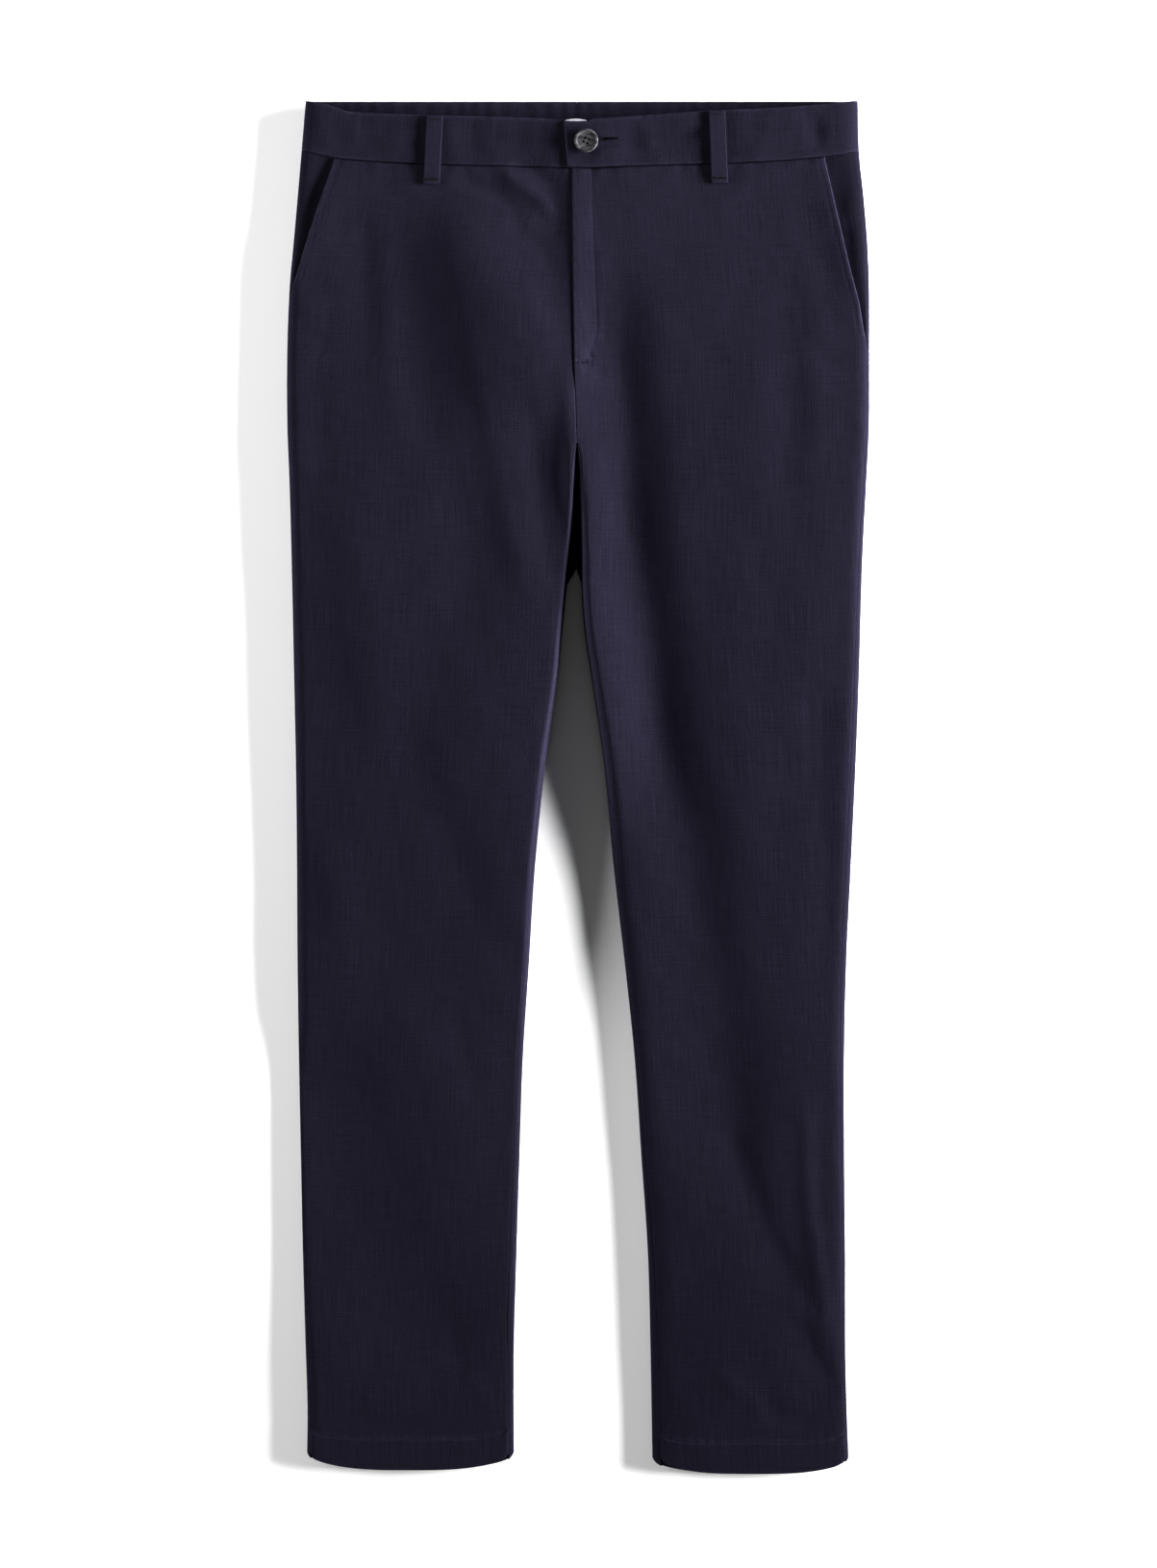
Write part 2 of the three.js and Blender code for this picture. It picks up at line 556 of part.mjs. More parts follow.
function backPanel(side) {
  const placed = (make) => (down) => {
    const inner = innerX(side, Math.max(down, CROTCH_DOWN));
    const outer = outerX(side, down);
    const seamGap = down === ROWS[0] ? HALF_GAP : 0;
    return make(side, down).map(({ x, z, out }) => {
      const share = clamp01((x - outer) / (inner - outer));
      const at = down + BACK_HEM_SHARE * hemDrop(side, share, down) + seamGap;
      return clothPoint(x, at, z, out, clothAt(down));
    });
  };
  const flipped = side === "right";
  const under = gridSheet(ROWS.map(placed(underRow)), flipped);
  const legRows = ROWS.filter((down) => down > CROTCH_DOWN);
  const fork = gridSheet(legRows.map(placed(forkRow)), flipped);
  return thickened(sewnSheets(under, fork));
}

// The cloth that shows in a pocket opening, sewn to the outseam and tucked under the front.
function pocketFacing(side) {
  const s = signOf(side);
  const { endDown } = POCKETS[side];
  const rows = ROWS.filter((down) => down <= endDown).map((down) => {
    const outer = outseamX(side, down) - s * HALF_GAP;
    const inner = pocketEdgeX(side, down) - s * FACING_UNDER;
    const opening = Math.abs(pocketEdgeX(side, down) - outer) + 1;
    const row = [];
    for (let j = 0; j <= FACING_COLUMNS; j++) {
      const x = mix(outer, inner, (j / FACING_COLUMNS) ** FACING_BUNCHING);
      const at = down + waistDip(x, down) + (down === ROWS[0] ? HALF_GAP : 0);
      const sunk = FACING_DIP * smooth(Math.abs(x - outer) / opening);
      row.push(upperPoint(side, x, at, at, -sunk));
    }
    return row;
  });
  return thickened(gridSheet(rows, side === "left"));
}

// Edge of the waistband's flap, which leans as the band does.
function flapX(down) {
  const { topX, topDown, seamX, seamDown } = FLAP_EDGE;
  return mix(topX, seamX, clamp01((down - topDown) / (seamDown - topDown)));
}

const flapLift = (x, down) => FLAP_LIFT * (1 - smooth((x - flapX(down) - FLAP_FULL) / FLAP_FADE));

// Half of the waistband: from the fly along the front, round the side and along the back to its centre.
function waistband(side) {
  const s = signOf(side);
  const rows = [];
  for (let i = 0; i <= BAND_ROWS; i++) {
    const share = i / BAND_ROWS;
    const sideDown = mix(BAND_DOWN - HALF_GAP, 0, share);
    const edge = outerX(side, sideDown);
    const rim = rimAt(sideDown);
    const row = [];
    const flapEdge = flapX(mix(FLAP_EDGE.seamDown, FLAP_EDGE.topDown, share));
    const start = flapEdge + (side === "left" ? HALF_GAP : UNDERLAP);
    for (let j = 0; j <= BAND_FRONT_STEPS; j++) {
      const t = j / BAND_FRONT_STEPS;
      const x = mix(start, edge, Math.sin((Math.PI / 2) * t ** BAND_BUNCHING));
      const at = mix(waistSeam(x) - HALF_GAP, waistTop(x), share);
      const lap = side === "left" ? flapLift(x, at) : 0;
      const lift = BAND_PROUD * (1 - t ** PROUD_FADE) + lap;
      row.push(upperPoint(side, x, at, at, lift, BAND_CLOTH));
    }
    for (const { x, z, out } of lowArc(edge, rim - RIM_WALL / 2, -s, 0)) {
      const proud = BAND_PROUD * (1 - (z - LOOP_CLEAR) / (rim - LOOP_CLEAR));
      row.push(clothPoint(x, sideDown, z - proud, out, BAND_CLOTH));
    }
    const flatStart = edge - s * LOW_ROUND;
    for (let j = 1; j <= BAND_BACK_STEPS; j++) {
      const x = mix(flatStart, SEAT_X + s * HALF_GAP, j / BAND_BACK_STEPS);
      row.push(clothPoint(x, sideDown, LOOP_CLEAR - BAND_PROUD, FLAT_DOWN, BAND_CLOTH));
    }
    rows.push(row);
  }
  return thickened(gridSheet(rows, side === "left"));
}

function solidOf(geometry) {
  const bare = geometry.clone();
  bare.deleteAttribute("normal");
  bare.deleteAttribute("uv");
  const merged = mergeVertices(bare, 1e-4);
  return new wasm.Manifold(
    new wasm.Mesh({
      numProp: 3,
      vertProperties: merged.attributes.position.array,
      triVerts: new Uint32Array(merged.index.array),
    }),
  );
}

function geometryOf(solid) {
  const { vertProperties, triVerts } = solid.getMesh();
  const geometry = new THREE.BufferGeometry();
  geometry.setAttribute("position", new THREE.Float32BufferAttribute(vertProperties, 3));
  geometry.setIndex([...triVerts]);
  geometry.computeVertexNormals();
  return geometry;
}

// The buttonhole is a slot with round ends, cut through the flap.
function cutButtonhole(band) {
  const radius = BUTTONHOLE.width / 2;
  const outline = new THREE.Shape();
  outline.absarc(BUTTONHOLE.toX - radius, 0, radius, -Math.PI / 2, Math.PI / 2);
  outline.absarc(BUTTONHOLE.fromX + radius, 0, radius, Math.PI / 2, (3 * Math.PI) / 2);
  const { depth, sides } = BUTTONHOLE;
  const slot = new THREE.ExtrudeGeometry(outline, { depth, bevelEnabled: false, curveSegments: sides });
  slot.translate(0, LENGTH / 2 - BUTTON.down, faceZ(BUTTON.x, BUTTON.down));
  return geometryOf(solidOf(band).subtract(solidOf(slot)));
}

// A belt loop on the front: a strap over the waistband, from its top edge to below the waist seam.
function frontLoop(centreX) {
  const from = waistTop(centreX) + LOOP_TOP;
  const seam = waistSeam(centreX);
  const to = seam + LOOP_TAIL;
  const rows = [];
  for (let i = 0; i <= LOOP_STEPS; i++) {
    const along = i / LOOP_STEPS;
    const down = mix(from, to, along);
    const bandProud = BAND_PROUD * (1 - smooth((down - seam) / LOOP_STEP_DOWN));
    const bulge = LOOP_BULGE * Math.sin(Math.PI * along);
    const lean = Math.sign(centreX) * LOOP_LEAN * (along - 0.5);
    rows.push(
      [-0.5, 0, 0.5].map((across) => {
        const x = centreX - lean + across * LOOP_WIDTH;
        const z = faceZ(x, down) + bandProud + LAY_GAP + bulge + LOOP_CLOTH;
        return clothPoint(x, down, z, UP, LOOP_CLOTH);
      }),
    );
  }
  return thickened(gridSheet(rows, false));
}

// A belt loop on the back, pressed flat between the waistband and the table.
function backLoop(centreX) {
  const tail = BAND_DOWN + LOOP_TAIL;
  const strap = new THREE.BoxGeometry(LOOP_WIDTH, tail - LOOP_TOP, LOOP_CLOTH, 1, 3, 1);
  strap.translate(centreX, LENGTH / 2 - (tail + LOOP_TOP) / 2, LOOP_CLOTH / 2);
  return strap;
}

// A round button with a raised rim, a dished face and sewing holes.
function button() {
  const { x, down, radius, sides } = BUTTON;
  const section = BUTTON_SECTION.map((row) => new THREE.Vector2(radius - row.in, row.up));
  const profile = [new THREE.Vector2(0, 0), ...section, new THREE.Vector2(0, BUTTON_DISH)];
  const disc = new THREE.LatheGeometry(profile, sides);
  disc.rotateX(Math.PI / 2);
  let solid = solidOf(disc);
  for (let k = 0; k < BUTTON_HOLES.count; k++) {
    const turn = (2 * Math.PI * k) / BUTTON_HOLES.count + BUTTON_HOLES.turned;
    const { fromCentre } = BUTTON_HOLES;
    const bore = BUTTON_HOLES.radius;
    const hole = new THREE.CylinderGeometry(bore, bore, 3 * BUTTON.thickness, BUTTON_HOLES.sides);
    hole.rotateX(Math.PI / 2);
    hole.translate(fromCentre * Math.cos(turn), fromCentre * Math.sin(turn), 0);
    solid = solid.subtract(solidOf(hole));
  }
  const geometry = geometryOf(solid);
  const seats = [-1, 0, 1].map((k) => faceZ(x + k * radius, down) + flapLift(x + k * radius, down));
  geometry.translate(x, LENGTH / 2 - down, Math.max(...seats) + BAND_PROUD + LAY_GAP);
  return geometry;
}

function label() {
  const { fromX, toX, top, bottom, thickness } = LABEL;
  const tag = new THREE.BoxGeometry(toX - fromX, bottom - top, thickness);
  const bandInside = LOOP_CLEAR - BAND_PROUD + BAND_CLOTH;
  tag.translate((fromX + toX) / 2, LENGTH / 2 - (top + bottom) / 2, bandInside + LAY_GAP + thickness / 2);
  return tag;
}

const trousers = new THREE.Group();

function add(name, geometry, material) {
  const mesh = new THREE.Mesh(geometry, material);
  mesh.name = name;
  trousers.add(mesh);
}

for (const side of ["right", "left"]) {
  add("front_" + side, frontPanel(side), materials.twill);
  add("back_" + side, backPanel(side), materials.twill);
  add("pocket_facing_" + side, pocketFacing(side), materials.facing);
}
add("waistband_right", waistband("right"), materials.twill);
add("waistband_left", cutButtonhole(waistband("left")), materials.twill);
for (const [name, centreX] of Object.entries(FRONT_LOOPS)) add(name, frontLoop(centreX), materials.twill);
for (const [name, centreX] of Object.entries(BACK_LOOPS)) add(name, backLoop(centreX), materials.twill);
add("waist_button", button(), materials.button);
add("inner_label", label(), materials.label);

export default trousers;
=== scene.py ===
"""Chino trousers laid flat with the fly side up: their cloth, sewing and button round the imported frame.

Sizes are in millimetres. "down" is the distance below the top of the waistband, x grows towards the
wearer's left and z is the height above the table. Colours are written as display values from 0 to 255.
"""

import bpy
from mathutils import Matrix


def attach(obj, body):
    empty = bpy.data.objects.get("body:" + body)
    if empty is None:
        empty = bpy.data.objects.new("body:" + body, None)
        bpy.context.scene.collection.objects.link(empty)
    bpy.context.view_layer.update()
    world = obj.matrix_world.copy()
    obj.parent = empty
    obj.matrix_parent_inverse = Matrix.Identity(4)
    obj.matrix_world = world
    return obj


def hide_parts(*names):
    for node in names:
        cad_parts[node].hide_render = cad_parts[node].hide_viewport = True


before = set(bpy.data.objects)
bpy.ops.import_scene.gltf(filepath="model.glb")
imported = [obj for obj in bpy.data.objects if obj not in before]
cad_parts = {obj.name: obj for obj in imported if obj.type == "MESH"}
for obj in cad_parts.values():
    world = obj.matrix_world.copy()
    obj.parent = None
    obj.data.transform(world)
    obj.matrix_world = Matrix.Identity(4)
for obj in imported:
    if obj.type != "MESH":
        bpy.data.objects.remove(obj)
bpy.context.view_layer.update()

import logging
import math
from dataclasses import dataclass, field
from enum import Enum

import bpy
import numpy as np

LOG = logging.getLogger("trousers")
MM = 0.001
HALF_LENGTH = 539.0
ROOT = "root"
WEAVE_MAP = "Weave"
# Attribute that lightens the cloth: wear on its edges, and painted highlight along edges and creases.
WEAR_AND_HIGHLIGHT = "Wear"

Array = np.ndarray

# Thickness of the cloth and of the turned-up hem, and half the gap that is left at a seam.
CLOTH = 0.9
HEM_CLOTH = 1.5
HALF_GAP = 0.06


class Side(Enum):
    """The wearer's side; its value is the sign of x there."""

    RIGHT = -1
    LEFT = 1

    @property
    def word(self) -> str:
        """The side in lower case, as the CAD nodes spell it."""
        return self.name.lower()


class Run(Enum):
    """Which way a fold runs over the cloth."""

    DOWN = "down"
    ACROSS = "across"


def clamp01(t: Array) -> Array:
    """Limits values to the range from 0 to 1."""
    return np.clip(t, 0.0, 1.0)


def smooth(t: Array) -> Array:
    """An S-curve from 0 to 1 whose ends are level: three squares less two cubes."""
    t = clamp01(t)
    return t * t * (3.0 - 2.0 * t)


def mix(a: Array, b: Array, t: Array) -> Array:
    """The value a share t of the way from a to b."""
    return a + (b - a) * t


def rounded_rise(t: Array) -> Array:
    """A quarter circle: upright at 0, level at 1 and beyond."""
    return np.sqrt(1.0 - (1.0 - clamp01(t)) ** 2)


def bell(distance: Array, width: float) -> Array:
    """A bell that is 1 on the line and falls to 1/e at the width."""
    return np.exp(-((distance / width) ** 2))


@dataclass(frozen=True)
class Graded:
    """A measurement that changes smoothly from place to place.

    Between two places it follows the cubic whose slope at each place is its neighbours' mean slope.
    """

    places: tuple[float, ...]
    values: tuple[float, ...]

    def __call__(self, place: Array) -> Array:
        """Reads the curve.

        Args:
            place: Where to read it; beyond the ends it stays level.

        Returns:
            The measurement at each place.
        """
        at, value = np.asarray(self.places), np.asarray(self.values)
        count = len(at)
        before = np.maximum(np.arange(count) - 1, 0)
        after = np.minimum(np.arange(count) + 1, count - 1)
        slope = (value[after] - value[before]) / (at[after] - at[before])
        p = np.clip(place, at[0], at[-1])
        i = np.clip(np.searchsorted(at, p, side="right") - 1, 0, count - 2)
        span = at[i + 1] - at[i]
        t = (p - at[i]) / span
        rise = value[i + 1] - value[i]
        bend = span * t * (1.0 - t) * (slope[i] * (1.0 - t) - slope[i + 1] * t)
        return value[i] + rise * t * t * (3.0 - 2.0 * t) + bend


@dataclass(frozen=True)
class Fold:
    """A soft trough (height below 0) or ridge along a line over the cloth.

    The line goes through the points (x, down). "before" and "after" are the fold's widths on its side of
    lower and of higher x, or of lower and higher down where it runs across.
    """

    x: tuple[float, ...]
    down: tuple[float, ...]
    height: float
    before: float
    after: float
    run: Run = Run.DOWN
    fade: float = 0.33

    def relief(self, x: Array, down: Array) -> Array:
        """Height that the fold adds: a bell across its line, fading in and out along it.

        Args:
            x: Places on the cloth.
            down: Places on the cloth.

        Returns:
            The added height at each place.
        """
        along, across, line = (down, x, Graded(self.down, self.x))
        if self.run is Run.ACROSS:
            along, across, line = (x, down, Graded(self.x, self.down))
        start, end = line.places[0], line.places[-1]
        lean = (line(along + 1.0) - line(along - 1.0)) / 2.0
        offset = (across - line(along)) / np.sqrt(1.0 + lean * lean)
        width = np.where(offset < 0.0, self.before, self.after)
        share = (along - start) / (end - start)
        ends = smooth(share / self.fade) * smooth((1.0 - share) / self.fade)
        return self.height * np.exp(-((offset / width) ** 2)) * ends


@dataclass(frozen=True)
class Section:
    """One level of the garment: its half outlines, how high it lies and where its sides turn under."""

    down: float
    right: float
    left: float
    loft: float
    rim: float


@dataclass(frozen=True)
class LegGap:
    """The inner edges of both legs at one level."""

    down: float
    right: float
    left: float


@dataclass(frozen=True)
class SeamInset:
    """How far inside the outline each leg seam lies at one level, seen from above."""

    down: float
    right_outer: float
    right_inner: float
    left_inner: float
    left_outer: float


@dataclass(frozen=True)
class WaistEdge:
    """The front waistband's top edge and seam, as distances below the back's top edge."""

    x: float
    top: float
    seam: float


SECTIONS = (
    Section(0, -214, 219.5, 13, 7.1),
    Section(40, -217.3, 220.5, 13, 7.1),
    Section(75, -220.3, 224.1, 13.2, 7),
    Section(110, -223.4, 227, 13.5, 6.8),
    Section(147, -226.7, 228.5, 13.8, 6.6),
    Section(200, -228.6, 228.6, 14.3, 6.4),
    Section(255, -228.5, 228.4, 14.6, 6.2),
    Section(300, -226.8, 226.3, 14.6, 6),
    Section(360, -225.2, 223.2, 14.2, 5.8),
    Section(450, -223.3, 220.6, 13.6, 5.5),
    Section(525, -221.8, 217.8, 13, 5.3),
    Section(600, -221, 214.2, 12.6, 5.2),
    Section(677, -220.6, 210.6, 12.2, 5),
    Section(752, -219.5, 208.9, 11.8, 4.9),
    Section(828, -218, 209, 11.4, 4.8),
    Section(904, -216.4, 209.7, 11, 4.7),
    Section(980, -214.2, 209.9, 10.4, 4.6),
    Section(1025, -212.8, 211, 10, 4.5),
    Section(1061, -213.1, 212.3, 9.7, 4.5),
)
LEG_GAPS = (
    LegGap(269.5, -1.9, -0.3),
    LegGap(284, -3.7, 1.2),
    LegGap(300, -3.9, 1.6),
    LegGap(330, -4.6, 1.9),
    LegGap(360, -6.8, 2.3),
    LegGap(390, -9.8, 2.8),
    LegGap(420, -12.9, 5.3),
    LegGap(450, -15.6, 9.8),
    LegGap(525, -26.3, 20.6),
    LegGap(601, -34, 27.8),
    LegGap(677, -38.8, 36.6),
    LegGap(752, -43.6, 44.4),
    LegGap(828, -46.2, 49.6),
    LegGap(904, -48.6, 54.8),
    LegGap(980, -50.7, 56.9),
    LegGap(1061, -50.7, 58.3),
)
SEAM_INSETS = (
    SeamInset(0, 1.2, 0.3, 0.3, 1.6),
    SeamInset(200, 1.2, 0.3, 0.3, 1.8),
    SeamInset(269.5, 1.2, 0.3, 0.3, 2.2),
    SeamInset(285, 1.2, 1.2, 1.2, 2.4),
    SeamInset(330, 1.2, 1.2, 1.2, 2.8),
    SeamInset(450, 1.2, 1.3, 1.2, 3.8),
    SeamInset(640, 1.3, 2.4, 1.3, 4.6),
    SeamInset(760, 1.5, 4.4, 2, 3.6),
    SeamInset(900, 2.2, 5.4, 4.4, 2),
    SeamInset(1061, 2.8, 4, 6.6, 2),
)
WAIST_EDGES = (
    WaistEdge(-214, 0, 40),
    WaistEdge(-196, 3.7, 44.3),
    WaistEdge(-180, 8.8, 46.4),
    WaistEdge(-120, 11.6, 50),
    WaistEdge(-50, 13.6, 51.8),
    WaistEdge(-13, 15.5, 52.9),
    WaistEdge(-9, 16.9, 53),
    WaistEdge(7, 17, 53.1),
    WaistEdge(11, 15.4, 53.1),
    WaistEdge(50, 12.2, 51.4),
    WaistEdge(105, 8.2, 49.8),
    WaistEdge(160, 5.6, 47),
    WaistEdge(200, 2.1, 43.2),
    WaistEdge(219.5, 0, 40),
)

# The creases of the upper side, each where the light shows it: first the long ones, then the short ones.
UPPER_FOLDS = (
    Fold((26, 30, 38, 46, 56, 68, 80, 96), (100, 160, 240, 320, 400, 480, 550, 620),
         -5.4, 29, 20, fade=0.22),
    Fold((72, 84, 98, 109, 121, 136), (500, 570, 650, 730, 810, 900), -4.4, 42, 27, fade=0.28),
    Fold((-7, -7, -4, 1, 8, 16, 29, 42), (180, 240, 300, 360, 420, 480, 550, 640),
         5.0, 7, 29, fade=0.3),
    Fold((118, 131, 144, 163, 184), (790, 840, 880, 920, 956), -1.6, 16, 10, fade=0.25),
    Fold((-104, -94, -79, -61, -47, -34), (56, 120, 200, 280, 350, 420), 2.2, 15, 46, fade=0.2),
    Fold((-92, -78, -56, -34), (56, 126, 196, 262), 3.4, 40, 60, fade=0.25),
    Fold((-2, -3, -4, -3), (58, 120, 190, 250), 1.3, 12, 26, fade=0.2),
    Fold((-141, -137, -122, -105, -88, -76), (60, 110, 200, 280, 370, 470), -0.8, 22, 17, fade=0.2),
    Fold((-84, -62, -40), (84, 150, 205), 1.0, 22, 26),
    Fold((-50, -38, -31, -26, -18), (210, 244, 280, 340, 410), -1.3, 13, 9, fade=0.3),
    Fold((-54, -40, -25, -13, -7), (110, 160, 200, 240, 276), 2.2, 44, 14, fade=0.28),
    Fold((-14, -20, -34, -46, -50), (300, 400, 520, 640, 760), 6.0, 84, 44, fade=0.3),
    Fold((-176, -172, -162, -146), (260, 350, 440, 540), 1.7, 24, 26),
    Fold((-138, -122, -106, -93, -78, -52), (470, 530, 570, 605, 642, 684), -1.1, 24, 19, fade=0.22),
    Fold((-200, -190, -176), (540, 640, 730), 0.8, 16, 17),
    Fold((-102, -89, -74), (694, 745, 800), -0.8, 11, 11),
    Fold((-206, -192, -178, -160, -136, -112, -88), (700, 780, 842, 900, 950, 992, 1034),
         -4.8, 52, 60, fade=0.25),
    Fold((-100, -94, -86), (960, 990, 1020), -0.7, 9, 8),
    Fold((178, 180, 186, 192, 198), (770, 850, 900, 940, 1000), 1.3, 8, 7, fade=0.25),
    Fold((170, 180, 194, 202), (944, 975, 1002, 1024), -1.2, 12, 8),
    Fold((158, 162, 161), (110, 220, 340), -1.1, 17, 14),
    Fold((184, 188, 186), (120, 220, 320), 0.7, 11, 12),
    Fold((120, 126, 140), (300, 460, 640), 0.9, 20, 22),
    Fold((188, 192, 196), (420, 560, 700), -0.8, 12, 10),
    Fold((-169, -166), (58, 230), -0.7, 10, 9),
    Fold((-149, -146), (80, 270), 0.6, 9, 11),
    Fold((-200, -204), (130, 330), -0.5, 9, 9),
    Fold((-66, -50, -30, -14), (54, 64, 78, 92), 2.0, 6, 7, Run.ACROSS, 0.28),
    Fold((-56, -34, -12), (50, 56, 66), -1.4, 5, 5, Run.ACROSS),
    Fold((-108, -84, -58, -38), (54, 64, 78, 92), -1.1, 7, 7, Run.ACROSS),
    Fold((-60, -36, -12), (96, 112, 140), -0.8, 8, 8, Run.ACROSS),
    Fold((116, 140, 172), (70, 62, 60), 0.6, 5, 7, Run.ACROSS),
    Fold((186, 204, 221), (112, 105, 108), -0.35, 6, 5, Run.ACROSS),
    Fold((188, 206, 225), (148, 162, 184), 0.4, 8, 6, Run.ACROSS),
    Fold((178, 200, 225), (190, 208, 211), -0.5, 9, 6, Run.ACROSS),
    Fold((196, 210, 226), (238, 240, 252), 0.35, 7, 6, Run.ACROSS),
    Fold((186, 206, 224), (284, 274, 288), -0.3, 7, 5, Run.ACROSS),
    Fold((-225, -208, -188), (158, 166, 166), 0.5, 4, 5, Run.ACROSS),
    Fold((-225, -210, -194), (186, 182, 192), -0.4, 4, 4, Run.ACROSS),
    Fold((-83, -60, -38), (551, 551, 550), -0.35, 1.6, 1.6, Run.ACROSS),
    Fold((-110, -80, -38), (631, 630, 631), -0.35, 1.6, 1.6, Run.ACROSS),
    Fold((60, 90, 121), (656, 655, 655), -0.3, 1.6, 1.6, Run.ACROSS),
    Fold((180, 182), (449, 563), -0.35, 1.4, 1.4),
    Fold((-3, 5, 13), (205, 206, 207), -0.6, 2.2, 2.2, Run.ACROSS, 0.2),
    Fold((-4, 6, 16), (211, 212, 212), 0.5, 3, 4, Run.ACROSS, 0.3),
    Fold((5, 9, 13), (197, 200, 203), -0.5, 1.8, 1.8, Run.ACROSS, 0.3),
    Fold((18.5, 20, 21.5), (180, 185, 190), -0.6, 2.2, 2.2, fade=0.4),
    Fold((104, 128, 152), (1000, 1014, 1034), 0.8, 9, 10, Run.ACROSS),
    Fold((140, 166, 190), (1022, 1036, 1038), -0.7, 8, 7, Run.ACROSS),
    Fold((-190, -150, -110), (1030, 1042, 1036), -0.5, 8, 6, Run.ACROSS),
    Fold((-96, -76, -60), (1000, 1012, 1034), 0.6, 7, 8, Run.ACROSS),
)
# Dents of the stiff waistband.
BAND_FOLDS = (
    Fold((14, 34, 62, 104), (28, 27, 27, 26), -1.1, 5, 8, Run.ACROSS, 0.22),
    Fold((8, 24, 44), (45, 41, 38), 0.8, 5, 6, Run.ACROSS),
    Fold((-104, -60, -16), (26, 28, 28), -0.8, 7, 8, Run.ACROSS),
    Fold((-190, -156, -124), (26, 31, 30), 0.8, 8, 9, Run.ACROSS),
    Fold((116, 158, 204), (22, 27, 24), -0.7, 7, 8, Run.ACROSS),
    Fold((52, 57), (14, 46), 0.5, 6, 7),
    Fold((-86, -80), (14, 46), -0.5, 7, 6),
    Fold((150, 146), (8, 44), 0.5, 7, 8),
    Fold((184, 190), (6, 42), -0.6, 7, 5),
    Fold((-204, -200), (4, 42), 0.5, 6, 6),
    Fold((-40, -36), (14, 48), 0.4, 6, 5),
)
# Creases of the under side, which lift the cloth off the table a little.
UNDER_FOLDS = (
    Fold((-150, -120, -60), (110, 180, 260), 0.9, 16, 14),
    Fold((150, 110, 64), (120, 190, 270), 0.9, 14, 16),
    Fold((-60, -72, -96), (380, 520, 700), 1.1, 13, 16),
    Fold((-170, -160), (420, 660), 0.8, 14, 14),
    Fold((70, 84, 120), (390, 540, 720), 1.1, 16, 13),
    Fold((176, 168), (480, 700), 0.8, 12, 12),
    Fold((-130, -100, -84), (760, 880, 1010), 1.0, 15, 15),
    Fold((100, 130, 150), (780, 900, 1020), 1.0, 15, 15),
)


def column(rows: tuple, key: str, value: str) -> Graded:
    """One column of a table as a smooth curve.

    Args:
        rows: The table's rows.
        key: Name of the column that gives the places.
        value: Name of the column that gives the measurements.

    Returns:
        The curve.
    """
    places = tuple(float(getattr(row, key)) for row in rows)
    return Graded(places, tuple(float(getattr(row, value)) for row in rows))


@dataclass(frozen=True)
class Ripple:
    """A long low wave of slack cloth, which bends as it goes."""

    wavelength: float
    heading: float
    height: float
    phase: float

    def relief(self, x: Array, down: Array) -> Array:
        """Height that the wave adds: a sine along its heading, bent by a slower sine across it."""
        turn = math.radians(self.heading)
        along = x * math.cos(turn) + down * math.sin(turn)
        across = down * math.cos(turn) - x * math.sin(turn)
        bend = 0.8 * np.sin(across / (1.3 * self.wavelength) + 2.1 * self.phase)
        return self.height * np.sin(2.0 * math.pi * along / self.wavelength + bend + self.phase)


RIPPLES = (
    Ripple(61, 12, 0.12, 0.4),
    Ripple(38, -24, 0.07, 1.9),
    Ripple(94, 31, 0.16, 3.3),
    Ripple(27, 64, 0.045, 5.0),
    Ripple(19, -51, 0.028, 2.2),
    Ripple(12, 20, 0.014, 0.9),
)


# Width over which the cloth rounds off at the inner edge, which grows down each leg.
INNER_ROUNDING = {
    Side.RIGHT: Graded((269.5, 420.0, 600.0, 760.0, 900.0), (5.0, 5.0, 6.0, 6.0, 7.0)),
    Side.LEFT: Graded((269.5, 420.0, 600.0, 760.0, 900.0), (7.0, 8.0, 13.0, 19.0, 21.0)),
}
# The fly's edge and the centre front seam under it.
FLY_LINE = Graded((40.0, 140.0, 211.0, 245.0, 269.5), (-4.6, -4.0, -3.0, -2.0, -1.1))


